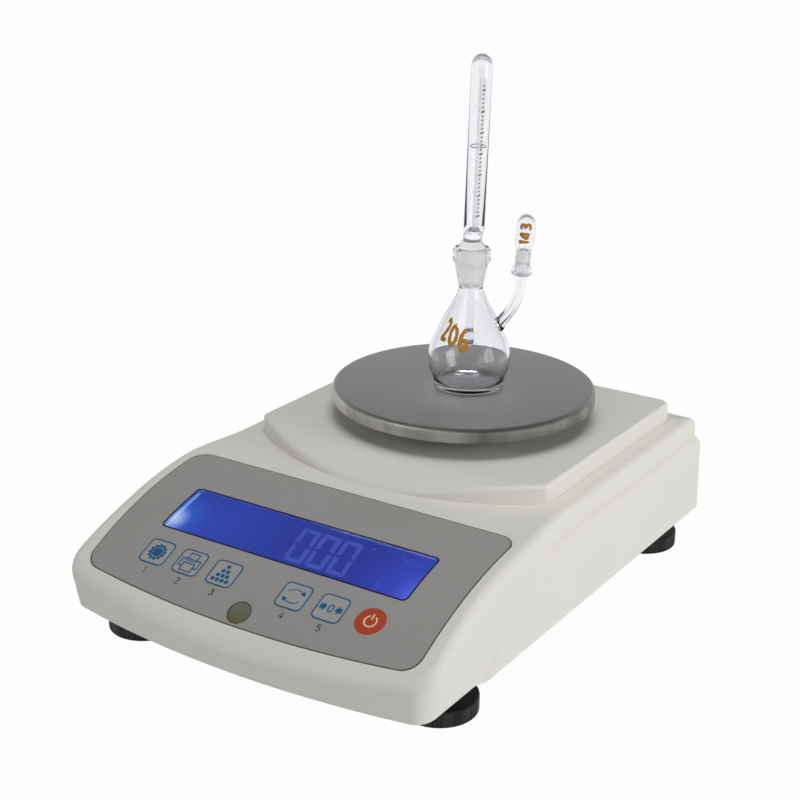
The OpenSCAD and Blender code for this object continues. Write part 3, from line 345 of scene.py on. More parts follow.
def ring_mesh(name, half_rings):
    """A closed mesh through half rings mirrored in X, capped at both ends by strips from side to side."""
    rings = [list(r) + [(-p[0], p[1], p[2]) for p in reversed(r[1:])] for r in half_rings]
    n, rows = len(rings[0]), len(rings)
    points = [Vector(p) * mm for ring in rings for p in ring]
    faces = [(j * n + i, j * n + (i + 1) % n, (j + 1) * n + (i + 1) % n, (j + 1) * n + i)
             for j in range(rows - 1) for i in range(n)]
    for row, up in ((rows - 1, True), (0, False)):
        for i in range((n - 1) // 2):
            r0, r1 = row * n + i, row * n + i + 1
            l0, l1 = row * n + (n - i) % n, row * n + n - i - 1
            strip = (l1, r0, r1) if i == 0 else (l1, l0, r0, r1)
            faces.append(strip if up else strip[::-1])
    made = bpy.data.meshes.new(name)
    made.from_pydata(points, [], faces)
    made.update()
    return made


def shape(name, mesh):
    """A new object in the frame for a mesh."""
    made = bpy.data.objects.new(name, mesh)
    bpy.context.scene.collection.objects.link(made)
    return made


def cut_or_join(piece, mesh, operation="DIFFERENCE"):
    """Cuts a closed mesh from a piece, or joins it on."""
    tool = shape(mesh.name, mesh)
    step = piece.modifiers.new(operation.lower(), "BOOLEAN")
    step.operation = operation
    step.solver = "MANIFOLD"
    step.object = tool
    bpy.context.view_layer.update()
    result = bpy.data.meshes.new_from_object(piece.evaluated_get(bpy.context.evaluated_depsgraph_get()))
    piece.modifiers.clear()
    piece.data = result
    bpy.data.objects.remove(tool)


def soften(piece, sharp):
    """Smooth shading, with edges sharper than the angle kept crisp."""
    piece.data.shade_smooth()
    piece.data.set_sharp_from_angle(angle=math.radians(sharp))


def finish_piece(piece, material, body, slot, *stands_for):
    """Gives a piece its material and body, and hides the CAD nodes that it stands for. The slot is not
    used.
    """
    piece.data.materials.clear()
    piece.data.materials.append(material)
    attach(piece, body)
    if stands_for:
        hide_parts(*stands_for)


def panel_spot(x, s, lift, at_s=None):
    """A place on the curved panel: x across, s down the curve from the film's upper edge, lift above it.
    With at_s it lies on the plane that touches the panel at that s."""
    touch = s if at_s is None else at_s
    a = film_angle + touch / panel_r
    spot = Vector((x, curve_y - (panel_r + lift) * math.sin(a), curve_z + (panel_r + lift) * math.cos(a)))
    return (spot + Vector((0, -math.cos(a), -math.sin(a))) * (s - touch)) * mm


def slice_across(made, places):
    """Cuts flat faces along lines across the panel, so that they can follow its curve."""
    for s in places:
        bmesh.ops.bisect_plane(made, geom=made.verts[:] + made.edges[:] + made.faces[:],
                               plane_co=(0, s, 0), plane_no=(0, 1, 0))


def mesh_of(name, made):
    """The mesh of a bmesh, which is freed."""
    mesh = bpy.data.meshes.new(name)
    made.to_mesh(mesh)
    made.free()
    return mesh


def closed_up(name, made):
    """A mesh of closed shells whose faces all look outwards."""
    made.normal_update()
    bmesh.ops.recalc_face_normals(made, faces=made.faces[:])
    if made.calc_volume(signed=True) < 0:
        bmesh.ops.reverse_faces(made, faces=made.faces[:])
    return mesh_of(name, made)


def panel_tile(name, edge, low, high, at_s=None):
    """A closed tile that follows the panel, from height low to high, inside an outline of (x, s) points.
    With at_s it is flat, on the plane that touches the panel at that place."""
    made = bmesh.new()
    face = made.faces.new([made.verts.new((x, s, 0)) for x, s in edge])
    face.normal_update()
    if face.normal.z < 0:
        face.normal_flip()
    if at_s is None:
        low_s, high_s = min(s for _, s in edge), max(s for _, s in edge)
        parts = int((high_s - low_s) / 2.0) + 1
        slice_across(made, [low_s + (high_s - low_s) * i / parts for i in range(1, parts)])
    bmesh.ops.triangulate(made, faces=made.faces[:])
    grown = bmesh.ops.extrude_face_region(made, geom=made.faces[:])
    raised = {v for v in grown["geom"] if isinstance(v, bmesh.types.BMVert)}
    for v in made.verts:
        v.co = panel_spot(v.co.x, v.co.y, high if v in raised else low, at_s)
    return closed_up(name, made)


def round_box(cx, cs, w, h, r):
    """Outline of a rounded rectangle on the panel."""
    edge = []
    for kx, ks, start in ((1, 1, 0), (-1, 1, 90), (-1, -1, 180), (1, -1, 270)):
        for i in range(9):
            a = math.radians(start + 90 * i / 8)
            edge.append((cx + kx * (w / 2 - r) + r * math.cos(a), cs + ks * (h / 2 - r) + r * math.sin(a)))
    return edge


def disc(cx, cs, r, steps=48, rx=None):
    """Outline of a circle, or of an oval of half width rx."""
    return [(cx + (rx or r) * math.cos(2 * math.pi * i / steps), cs + r * math.sin(2 * math.pi * i / steps))
            for i in range(steps)]


def film_edge(grow):
    """Outline of the film: square at the top, bowed at the bottom, as it lies on the curve."""
    width, height, sag, corner = 174.6, 91.5, 6.0, 8.5
    mid, half = height / 2, width / 2 + grow
    bow = ((width / 2) ** 2 + sag ** 2) / (2 * sag) + grow
    foot, cx = -mid - grow, half - corner
    cy = foot + bow - math.sqrt((bow - corner) ** 2 - cx ** 2)
    meet = math.atan2(cy - foot - bow, cx)
    right = [(0, foot)]
    right += [(bow * math.cos(a), foot + bow + bow * math.sin(a))
              for a in (blend_to(-math.pi / 2, meet, i / 24) for i in range(1, 24))]
    right += [(cx + corner * math.cos(a), cy + corner * math.sin(a))
              for a in (blend_to(meet, 0, i / 12) for i in range(13))]
    right += [(cx + corner * math.cos(a), mid + grow - corner + corner * math.sin(a))
              for a in (math.pi / 2 * i / 12 for i in range(13))]
    whole = right + [(-x, y) for x, y in reversed(right[1:])]
    return [(x, mid - panel_r * math.asin(y / panel_r)) for x, y in whole]


housing = half_plan(body_w, front_y, rear_y, 460.0, 12.0, 10.0, (26, 14, 120, 10))
shell_rings = [
    top_ring(housing, lambda p: wall_in(p) + wall_t + 1.2, wall_t),
    top_ring(housing, lambda p: wall_in(p) + wall_t, edge_r + wall_t / 2),
    [moved(p, shoulder_in(p) + wall_t, shoulder_z(p) - 1) for p in housing],
    [moved(p, ledge_in(p) + wall_t, ledge_z(p) - 0.5) for p in housing],
    [moved(p, foot_in(p) + wall_t, underside) for p in housing],
    [moved(p, foot_in(p) + 0.5, underside) for p in housing],
    [moved(p, foot_in(p), underside + 0.5) for p in housing],
    [moved(p, ledge_in(p), ledge_z(p)) for p in housing],
    [moved(p, blend_to(ledge_in(p), shoulder_in(p), 0.5), blend_to(ledge_z(p), shoulder_z(p), 0.62))
     for p in housing],
    [moved(p, shoulder_in(p), shoulder_z(p)) for p in housing]]
for turn in range(0, 91, 10):
    a = math.radians(turn)
    shell_rings.append([
        (q[0], q[1], top_z(q[1]) - edge_r * (1 - math.sin(a)))
        for q in (moved(p, wall_in(p) + edge_r * (1 - math.cos(a)), 0) for p in housing)])
shell_rings.append(top_ring(housing, lambda p: wall_in(p) + edge_r + 0.5, 0))
cover = shape("moulded_cover", ring_mesh("moulded_cover", shell_rings))

pan_y, platform_z, roll_r = rear_y - 86, 78.5, 47.0
platform_front, platform_rear = pan_y - 88.6, rear_y - 11.2
roll_y = platform_front + 26.6


def platform_top(y):
    return platform_z if y > roll_y else platform_z - roll_r + math.sqrt(roll_r ** 2 - (roll_y - y) ** 2)


platform = half_plan(160.0, platform_front, platform_rear, 122.6, 4.0, 7.0, (60, 10, 6, 8))


def platform_ring(inset, drop):
    return [(q[0], q[1], platform_top(q[1]) - drop) for q in (moved(p, inset, 0) for p in platform)]


platform_block = ring_mesh("platform", [
    [moved(p, 0, deck_z - wall_t / 2) for p in platform],
    platform_ring(0.2, 1.6), platform_ring(0.35, 1.1), platform_ring(0.7, 0.55),
    platform_ring(1.2, 0.15), platform_ring(1.7, 0.0), platform_ring(2.1, 0.0)])
cut_or_join(cover, platform_block, "UNION")


def tube_tool(name, place, r, height, turn=None):
    """A closed round tool standing on a place, for cutting holes."""
    made = bmesh.new()
    bmesh.ops.create_cone(made, cap_ends=True, segments=64, radius1=r * mm, radius2=r * mm,
                          depth=height * mm)
    bmesh.ops.translate(made, verts=made.verts[:], vec=(0, 0, height * mm / 2))
    if turn is not None:
        made.transform(turn)
    bmesh.ops.translate(made, verts=made.verts[:], vec=Vector(place) * mm)
    return mesh_of(name, made)


def slab_tool(name, low, high):
    """A plain rectangular tool between two corners, for cutting."""
    made = bmesh.new()
    bmesh.ops.create_cube(made, size=1.0)
    for v in made.verts:
        v.co = Vector([(low[i] if v.co[i] < 0 else high[i]) * mm for i in range(3)])
    return mesh_of(name, made)


key_s, level_s, window_s = 69.9, 85.2, 41.4
key_xs, power_x = (-56.4, -37.7, -18.7, 18.5, 37.5), 57.1
key_gap, power_gap_r, level_gap_r = (13.6, 13.1, 2.5), 6.7, 6.1
film_low, film_high, over = -0.5, 0.1, 4
pocket_floor, through = -1.0, -9
backward = Matrix.Rotation(-math.pi / 2, 4, "X")
serial_x, jack_x, port_z, jackscrew_out = 34, -34, 38, 12.495
cover_tools = [
    panel_tile("film_seat", film_edge(0.15), film_low, 3.0),
    panel_tile("window_hole", round_box(0, window_s, 130, 27.7, 2), through, over, window_s)]
cover_tools += [
    panel_tile("key_pocket", round_box(x, key_s, *key_gap), pocket_floor, over, key_s) for x in key_xs]
cover_tools += [
    panel_tile("power_pocket", disc(power_x, key_s, power_gap_r), pocket_floor, over, key_s),
    panel_tile("level_hole", disc(0, level_s, level_gap_r), through, over, level_s),
    tube_tool("post_hole", (0, pan_y, deck_z - 8), 11, 30),
    slab_tool("serial_hole", (serial_x - 9.5, rear_y - 6, port_z - 5.5),
              (serial_x + 9.5, rear_y + 4, port_z + 5.5))]
cover_tools += [
    tube_tool("port_hole", (x, rear_y - 6, port_z), r, 10, backward)
    for x, r in ((serial_x - jackscrew_out, 3.2), (serial_x + jackscrew_out, 3.2), (jack_x, 5.0))]
for tool in cover_tools:
    cut_or_join(cover, tool)
soften(cover, 30)
steady = cover.modifiers.new("steady_normals", "WEIGHTED_NORMAL")
steady.keep_sharp = True

# Warm white ABS with a fine spark-eroded grain of about 0.6 mm, drawn at 0.9 mm to show.
cover_abs = grained("warm_white_abs", "#e3e1da", "#dfddd5", 0.46, 0.9, 0.035, ior=1.54)
finish_piece(cover, cover_abs, "instrument", "housing_abs", "upper_cover")

# ---------------------------------------------------------------- graphic film
# A 0.6 mm polyester film printed on its back in a mid grey, with a matt texture, die-cut to a bowed
# outline and glued into its shallow seat. Its cut edge is coloured dark, as painted shade in the seam round
# it.
film = shape("graphic_film", panel_tile("graphic_film", film_edge(0), film_low, film_high))
openings = [panel_tile("window_cut", round_box(0, window_s, 130.2, 27.9, 2.1), -over, over, window_s)]
openings += [panel_tile("key_cut", round_box(x, key_s, *key_gap), -over, over, key_s) for x in key_xs]
openings += [panel_tile("power_cut", disc(power_x, key_s, power_gap_r), -over, over, key_s),
             panel_tile("level_cut", disc(0, level_s, level_gap_r), -over, over, level_s)]
for opening in openings:
    cut_or_join(film, opening)
soften(film, 30)
# The film's face takes the curve's own shading, so that its openings leave no trace on it.
face_ways, cut_faces = [], []
for face in film.data.polygons:
    spots = [film.data.vertices[corner].co / mm for corner in face.vertices]
    reaches = [math.hypot(p.y - curve_y, p.z - curve_z) - panel_r for p in spots]
    on_face, on_back = min(reaches) > film_high - 0.03, max(reaches) < film_low + 0.03
    if max(reaches) > film_high - 0.03 and min(reaches) < film_low + 0.03:
        cut_faces.append(face.index)
    for p in spots:
        outward = Vector((0, p.y - curve_y, p.z - curve_z)).normalized()
        face_ways.append(outward if on_face else -outward if on_back else face.normal.copy())
film.data.normals_split_custom_set(face_ways)
film_polyester = grained("matt_polyester_film", "#9e9d9a", "#999895", 0.5, 0.45, 0.012, ior=1.57)
finish_piece(film, film_polyester, "instrument", "graphic_film", "panel_film")
# The film's cut edges take a dark colour: painted shade in the gaps at its rim and its openings.
film.data.materials.append(grained("dark_cut_edge", "#2c2c38", "#33333e", 0.6, 0.4, 0.004, ior=1.5))
for index in cut_faces:
    film.data.polygons[index].material_index = 1
ink_lift, outline_lift = 0.13, 0.12


def ink_sheet(name, shapes, lift, material, body, slot, at_s=None):
    """Printed ink and painted shade lines: flat outlines of (x, s) points laid on the panel, or on the flat
    top of a key.
    """
    made = bmesh.new()
    for edge in shapes:
        face = made.faces.new([made.verts.new((x, s, 0)) for x, s in edge])
        face.normal_update()
        if face.normal.z > 0:
            face.normal_flip()
    if at_s is None:
        low_s, high_s = min(v.co.y for v in made.verts), max(v.co.y for v in made.verts)
        slice_across(made, [low_s + 3 * i for i in range(1, int((high_s - low_s) / 3) + 1)])
    for v in made.verts:
        v.co = panel_spot(v.co.x, v.co.y, lift, at_s)
    finish_piece(shape(name, mesh_of(name, made)), material, body, slot)


def band(outer, inner):
    """The area between two outlines of as many points, as four-sided pieces."""
    n = len(outer)
    return [[outer[i], outer[(i + 1) % n], inner[(i + 1) % n], inner[i]] for i in range(n)]


def stroke(points, width, closed=False):
    """A pen stroke of one width along a line of points, as four-sided pieces with mitred joints."""
    n = len(points)
    left, right = [], []
    for i, p in enumerate(points):
        before = points[i - 1] if (i or closed) else p
        after = points[(i + 1) % n] if (i < n - 1 or closed) else p
        ways = [(q[0] - o[0], q[1] - o[1]) for o, q in ((before, p), (p, after))]
        ways = [(w[0] / math.hypot(*w), w[1] / math.hypot(*w)) for w in ways if math.hypot(*w) > 1e-9]
        mx, my = sum(w[0] for w in ways), sum(w[1] for w in ways)
        size = math.hypot(mx, my)
        tx, ty = mx / size, my / size
        mitre = min(1.6, 1 / max(0.3, abs(tx * ways[0][0] + ty * ways[0][1])))
        half = width / 2 * mitre
        left.append((p[0] - ty * half, p[1] + tx * half))
        right.append((p[0] + ty * half, p[1] - tx * half))
    last = n if closed else n - 1
    return [[left[i], left[(i + 1) % n], right[(i + 1) % n], right[i]] for i in range(last)]


def inked(name, colour, shade):
    """Screen-printed ink, also used for the painted shade lines: a flat colour that is a little uneven,
    with the film's dull gloss.
    """
    return grained(name, colour, shade, 0.5, 0.4, 0.004, ior=1.5)


# The dark band along the film's rim is painted shade: the shadow in the seam round the film's cut edge.
film_edge_shade = inked("painted_film_edge_shade", "#5d5e5d", "#666766")
window_edge_shade = inked("painted_window_edge_shade", "#191a33", "#20213b")
ink_sheet("film_edge_line", band(film_edge(0), film_edge(-0.42)), ink_lift, film_edge_shade,
          "instrument", "graphic_film")
# The dark navy band round the display window is painted shade: the shadow at the film's cut edge.
window_line = band(round_box(0, window_s, 131.3, 29.0, 2.6), round_box(0, window_s, 129.8, 27.4, 2.0))
ink_sheet("window_edge_line", window_line, ink_lift, window_edge_shade, "instrument", "graphic_film")

# ---------------------------------------------------------------- keys
# Five square pads and a round one, flush in the film. Each is a moulded pad with a printed face,
# and works its switch through a stem. The blue print is an outline and a plain pictogram.
blue_ink = inked("steel_blue_ink", "#1b5680", "#225e88")
pad_face = inked("pale_grey_pad", "#a5a5a3", "#9f9f9d")
red_pad = inked("orange_red_pad", "#b8472c", "#b04026")
cream_ink = inked("cream_ink", "#e8cdb4", "#e0c3aa")
give(red_pad, "power_key")
give(pad_face, "key_1", "key_2", "key_3", "key_4", "key_5")


def around(cx, cs, shapes):
    """Moves shapes drawn about the origin with Y up to a place on the panel, where s runs down."""
    return [[(cx + x, cs - y) for x, y in edge] for edge in shapes]


def arc(r, start, end, steps=20, ry=None):
    turns = [math.radians(blend_to(start, end, i / steps)) for i in range(steps + 1)]
    return [(r * math.cos(a), (ry or r) * math.sin(a)) for a in turns]


def gear_icon():
    teeth, rim = 12, []
    for i in range(teeth):
        for at, r in ((0.0, 3.35), (0.18, 4.05), (0.5, 4.05), (0.68, 3.35)):
            a = 2 * math.pi * (i + at) / teeth
            rim.append((r * math.cos(a), r * math.sin(a)))
    hub = [(2.45 * math.cos(math.atan2(y, x)), 2.55 * math.sin(math.atan2(y, x))) for x, y in rim]
    return band(rim, hub) + [disc(0, 0, 2.2)]


def printer_icon():
    w = 0.55
    return (stroke([(-2.1, 1.5), (-2.1, 4.2), (2.1, 4.2), (2.1, 1.5)], w)
            + stroke([(-2.6, -2.3), (-4.2, -2.3), (-4.2, 1.5), (4.2, 1.5), (4.2, -2.3), (2.6, -2.3)], w)
            + stroke([(-2.6, -0.4), (2.6, -0.4), (2.6, -4.2), (-2.6, -4.2)], w, closed=True)
            + stroke([(-3.1, 0.7), (3.1, 0.7)], 0.4))


def dots_icon():
    return [disc((k - row / 2) * 2.15, 3.3 - row * 2.2, 0.92, 20)
            for row in range(4) for k in range(row + 1)]


def cycle_icon():
    top = arc(3.9, 150, 42, ry=3.1)
    low = arc(3.9, 330, 222, ry=3.1)
    heads = [[(4.3, 1.0), (1.9, 1.7), (3.3, 3.4)], [(-4.3, -1.0), (-1.9, -1.7), (-3.3, -3.4)]]
    return stroke(top, 0.42) + stroke(low, 0.42) + heads


def zero_icon():
    shapes = band(disc(0, 0, 1.9, rx=1.25), disc(0, 0, 1.3, rx=0.7))
    for side in (-1, 1):
        shaft = [(side * 4.7, -1.1), (side * 3.3, -1.1), (side * 3.3, 1.1), (side * 4.7, 1.1)]
        head = [(side * 3.4, -2.1), (side * 1.8, 0.0), (side * 3.4, 2.1)]
        shapes += [shaft, head]
    return shapes


icons = (gear_icon(), printer_icon(), dots_icon(), cycle_icon(), zero_icon())
for number, (x, icon) in enumerate(zip(key_xs, icons), 1):
    rim = band(round_box(x, key_s, 14.0, 13.5, 2.7), round_box(x, key_s, 12.7, 12.2, 2.05))
    ink_sheet(f"key_{number}_outline", rim, ink_lift, blue_ink, "instrument", "key_blue", key_s)
    drawn = around(x, key_s, [[(px * 1.15, py * 1.15) for px, py in edge] for edge in icon])
    ink_sheet(f"key_{number}_print", drawn, ink_lift, blue_ink, f"key_{number}_body", "key_blue", key_s)
power_mark = stroke(arc(2.75, 118, 422, 36), 0.75) + stroke([(0, 0.9), (0, 3.9)], 0.75)
power_rim = band(disc(power_x, key_s, 6.85), disc(power_x, key_s, 6.3))
ink_sheet("power_outline", power_rim, outline_lift, red_pad, "instrument", "key_red", key_s)
ink_sheet("power_mark", around(power_x, key_s, power_mark), ink_lift, cream_ink,
          "power_key_body", "key_red", key_s)

# Plain figures as pen lines about their middles.
digit_lines = {
    "1": [[(-0.25, 0.5), (0.05, 0.8), (0.05, -0.8)]],
    "2": [[(-0.42, 0.5), (-0.3, 0.72), (0, 0.8), (0.3, 0.72), (0.43, 0.45), (0.3, 0.1), (-0.45, -0.8),
           (0.5, -0.8)]],
    "3": [[(-0.4, 0.62), (0, 0.8), (0.38, 0.6), (0.38, 0.25), (0, 0.05), (0.42, -0.2), (0.42, -0.6),
           (0, -0.8), (-0.42, -0.6)]],
    "4": [[(0.2, -0.8), (0.2, 0.8), (-0.5, -0.3), (0.5, -0.3)]],
    "5": [[(0.4, 0.8), (-0.35, 0.8), (-0.4, 0.1), (0.05, 0.2), (0.42, -0.1), (0.42, -0.5), (0.05, -0.8),
           (-0.42, -0.65)]]}
# The legends under the keys are plain numbers in a near-black ink, 3 mm high.
legend_ink = inked("near_black_ink", "#2a2b30", "#323338")
legend_s = 80.3
for number, x in enumerate(key_xs, 1):
    drawn = [piece for line in digit_lines[str(number)]
             for piece in stroke([(px * 1.9, py * 1.9) for px, py in line], 0.48)]
    ink_sheet(f"key_{number}_number", around(x + 0.3, legend_s, drawn), ink_lift, legend_ink,
              "instrument", "graphic_film")

# ---------------------------------------------------------------- display
# A blue negative LCD under a flat acrylic lens, lit from its left end by white LEDs, so the left
# edge glows nearly white and the right end is a little paler. Unlit segments show as faint ghosts.
lcd_lift = -4.7


def lcd_glow(name, base, strength=1.0):
    """The lit LCD: deep blue, a white-blue flare at its left end and a paler patch at its right."""
    made, tree, out = new_material(name)
    here = in_mm(tree)

    def near(x, s, reach, power):
        spot = panel_spot(x, s, lcd_lift) / mm
        gap = add_node(tree, "VectorMath", {"operation": "DISTANCE", 1: spot}, i0=here)
        close = add_node(tree, "MapRange", {1: 0.0, 2: reach, 3: 1.0, 4: 0.0},
                         Value=gap.outputs["Value"])
        return add_node(tree, "Math", {"operation": "POWER", 1: power}, i0=close.outputs[0]).outputs[0]

    across = add_node(tree, "SeparateXYZ", None, Vector=here)
    edge = add_node(tree, "MapRange", {1: -65.4, 2: -64.5, 3: 0.9, 4: 0.0}, Value=across.outputs["X"])
    colour = None
    for close, hexa in ((near(-44, 43, 66, 2.0), "#3149b6"), (near(-67, 46, 23, 2.0), "#3a7cf2"),
                        (edge.outputs[0], "#7db4f4"), (near(-67, 46.5, 9.5, 1.6), "#e2f2ff"),
                        (near(70, 50, 44, 1.6), "#4558dd"), (near(69, 50, 17, 1.8), "#6f86ff")):
        mixed = add_node(tree, "Mix", {"data_type": "RGBA", 6: linear(base), 7: linear(hexa)}, Factor=close)
        if colour is not None:
            tree.links.new(colour, mixed.inputs[6])
        colour = mixed.outputs[2]
    speck = add_node(tree, "TexNoise", {"Scale": 1.6, "Detail": 2.0}, Vector=here)
    level = add_node(tree, "MapRange", {3: 0.94 * strength, 4: 1.06 * strength}, Value=speck.outputs["Fac"])
    glow = add_node(tree, "Emission", None, Color=colour, Strength=level.outputs[0])
    tree.links.new(glow.outputs[0], out.inputs["Surface"])
    return made


lit_lcd = lcd_glow("lit_blue_lcd", "#2b3a9c")
ghost_lcd = lcd_glow("unlit_segments", "#4355b6", 1.03)
give(lit_lcd, "lcd_glass")
seg_w, seg_h, seg_t = 9.6, 20.6, 2.3


def seven_segments(cx, cs):
    """A ghosted figure: the six outer bars of a figure 0, mitred, and leaning a little."""
    w, h, t, gap, slant = seg_w / 2, seg_h / 2, seg_t, 0.25, -1.2
    bars = [
        [(-w + gap, h), (w - gap, h), (w - t, h - t), (-w + t, h - t)],
        [(-w + gap, -h), (w - gap, -h), (w - t, -h + t), (-w + t, -h + t)]]
    for side in (-1, 1):
        out_x, in_x = side * w, side * (w - t)
        bars.append([(out_x, h - gap), (in_x, h - t - gap), (in_x, t / 2 + gap), (out_x, gap)])
        bars.append([(out_x, -h + gap), (in_x, -h + t + gap), (in_x, -t / 2 - gap), (out_x, -gap)])
    return [[(cx + x + slant * y / h, cs - y) for x, y in bar] for bar in bars]


figures = []
for cx in (1.6, 12.7, 23.9):
    figures += seven_segments(cx, 39.8)
figures += around(46.6, 48.0, stroke(arc(1.2, 60, 360, 18) + [(1.2, -2.0), (0.6, -2.9), (-0.8, -2.7)], 0.5))
figures += [[(x - 0.5, 29.4), (x + 0.5, 29.4), (x + 0.5, 30.6), (x - 0.5, 30.6)] for x in (33.0, 47.6)]
figures += around(50.4, 30.8, stroke([(0, 0.9), (8.2, 0.9), (8.2, -1.2), (0, -1.2)], 0.4, closed=True))
ink_sheet("lcd_ghost_figures", figures, lcd_lift + 0.15, ghost_lcd, "instrument", "lcd", window_s)

# ---------------------------------------------------------------- spirit level
# A small round level in an olive-grey nylon cup: a clear acrylic vial with yellow-green spirit, a
# bubble and a printed circle. The vial stands upright under the film's round opening.
olive_nylon = grained("olive_grey_nylon", "#8f8e7d", "#858471", 0.5, 0.7, 0.02, ior=1.53)
give(olive_nylon, "level_holder")
vial_low, vial_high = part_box("level_vial")
vial_top, level_y = vial_high[2] / mm, (vial_low[1] + vial_high[1]) / 2 / mm
level_spirit = grained("yellow_green_spirit", "#6c7444", "#747c4b", 0.12, 2.0, 0.0, ior=1.36)
give(level_spirit, "level_liquid")


def lathe(name, profile, place, steps):
    """A turned mesh: a line of (radius, height) points in mm turned about the place's own Z axis.
    A line that starts and ends off the axis is closed on itself."""
    made = bmesh.new()
    rings = []
    for r, z in profile:
        count = 1 if r < 1e-6 else steps
        rings.append([made.verts.new(place @ (Vector((
            r * math.cos(2 * math.pi * i / steps), r * math.sin(2 * math.pi * i / steps), z)) * mm))
            for i in range(count)])
    pairs = list(zip(rings, rings[1:]))
    if len(rings[0]) > 1 and len(rings[-1]) > 1:
        pairs.append((rings[-1], rings[0]))
    for a, b in pairs:
        for i in range(steps):
            corners = list(dict.fromkeys(
                (a[i % len(a)], a[(i + 1) % len(a)], b[(i + 1) % len(b)], b[i % len(b)])))
            if len(corners) > 2:
                made.faces.new(corners)
    return closed_up(name, made)


def clear_plastic(name, colour, ior, roughness=0.02, clear=1.0):
    """A clear solid: light passes through it, and shadows through it stay light."""
    made, tree, out = new_material(name)
    body = add_node(tree, "BsdfPrincipled", {
        "Base Color": linear(colour), "Transmission Weight": clear, "IOR": ior})
    haze = add_node(tree, "TexNoise", {"Scale": 0.12, "Detail": 2.0}, Vector=in_mm(tree))
    gloss = add_node(tree, "MapRange", {3: roughness * 0.5, 4: roughness * 1.5}, Value=haze.outputs["Fac"])
    tree.links.new(gloss.outputs[0], body.inputs["Roughness"])
    through = add_node(tree, "BsdfTransparent", {"Color": linear("#f4f4f6")})
    path = add_node(tree, "LightPath")
    passes = add_node(tree, "Math", {"operation": "MAXIMUM"},
                      i0=path.outputs["Is Shadow Ray"], i1=path.outputs["Is Diffuse Ray"])
    both = add_node(tree, "MixShader", None,
                    i0=passes.outputs[0], i1=body.outputs[0], i2=through.outputs[0])
    tree.links.new(both.outputs[0], out.inputs["Surface"])
    return made


vial_acrylic = clear_plastic("clear_vial_acrylic", "#f4f7ec", 1.2)
give(vial_acrylic, "level_vial")
at_bubble = Matrix.Translation(Vector((0.6, level_y - 1.2, vial_top - 1.35)) * mm)
bubble_line = [(0.0, 0.0), (0.9, 0.02), (1.5, 0.08), (1.75, 0.2), (1.5, 0.32), (1.2, 0.24), (0.0, 0.2)]
bubble = shape("level_bubble", lathe("level_bubble", bubble_line, at_bubble, 40))
soften(bubble, 60)
finish_piece(bubble, inked("pale_bubble_edge", "#98a075", "#a1a87e"), "instrument", "level_fluid")
on_vial = Matrix.Translation(Vector((0, level_y, vial_top + 0.01)) * mm)
ring_line = [(2.3, 0.0), (2.6, 0.0), (2.6, 0.05), (2.3, 0.05)]
ring = shape("level_ring", lathe("level_ring", ring_line, on_vial, 48))
finish_piece(ring, legend_ink, "instrument", "vial")

# The film's own clear window over the level is matt, and veils the cup's walls.
clouded, tree, out = new_material("matt_clear_film")
down = add_node(tree, "SeparateXYZ", None, Vector=in_mm(tree))
green = add_node(tree, "MapRange", {1: level_y - 4.5, 2: level_y + 2.5, 3: 1.0, 4: 0.0},
                 Value=down.outputs["Y"])
veil_tone = add_node(tree, "Mix", {"data_type": "RGBA", 6: linear("#85857f"), 7: linear("#7b7b4a")},
                     Factor=green.outputs[0])
grain = add_node(tree, "TexNoise", {"Scale": 2.0, "Detail": 2.0}, Vector=in_mm(tree))
gloss = add_node(tree, "MapRange", {3: 0.3, 4: 0.4}, Value=grain.outputs["Fac"])
veil = add_node(tree, "BsdfPrincipled", {"IOR": 1.5, "Alpha": 0.62},
                Base_Color=veil_tone.outputs[2], Roughness=gloss.outputs[0])
tree.links.new(veil.outputs[0], out.inputs["Surface"])
window = shape("level_window", panel_tile("level_window", disc(0, level_s, 5.3), -0.35, 0.0, level_s))
finish_piece(window, clouded, "instrument", "graphic_film")
surround = band(disc(0, level_s, 6.5), disc(0, level_s, 5.6))
ink_sheet("level_surround", surround, outline_lift, film_polyester, "instrument", "graphic_film", level_s)
outline = band(disc(0, level_s, 5.6), disc(0, level_s, 5.2))
ink_sheet("level_outline", outline, outline_lift, legend_ink, "instrument", "graphic_film", level_s)

# ---------------------------------------------------------------- display lens and its parts
# A flat clear acrylic lens lies in the cover's opening over the LCD. The opening's walls are given the
# lit LCD's blue glow, a painted glow, so the picture seems to reach them. A bezel clips the LCD and its
# diffuser to their board.
lens_acrylic = clear_plastic("clear_lens_acrylic", "#f3f5fc", 1.49, 0.03)
give(lens_acrylic, "display_window")
# The bezel is given the lit LCD's glow: a painted glow, as the bezel sends out no light of its own.
give(lit_lcd, "lcd_bezel")
diffuser_film = grained("white_diffuser_film", "#e8ebf2", "#e0e4ec", 0.5, 0.8, 0.01, ior=1.58)
give(diffuser_film, "backlight")
# The opening's walls glow with the lit LCD's blue: a painted glow standing in for the display's light on
# them.
cover.data.materials.append(lit_lcd)
for face in cover.data.polygons:
    c = face.center / mm
    reach = math.hypot(c.y - curve_y, c.z - curve_z) - panel_r
    s = (math.atan2(curve_y - c.y, c.z - curve_z) - film_angle) * panel_r
    if abs(c.x) < 65.1 and abs(s - window_s) < 14.0 and -9.5 < reach < -0.2:
        face.material_index = 1

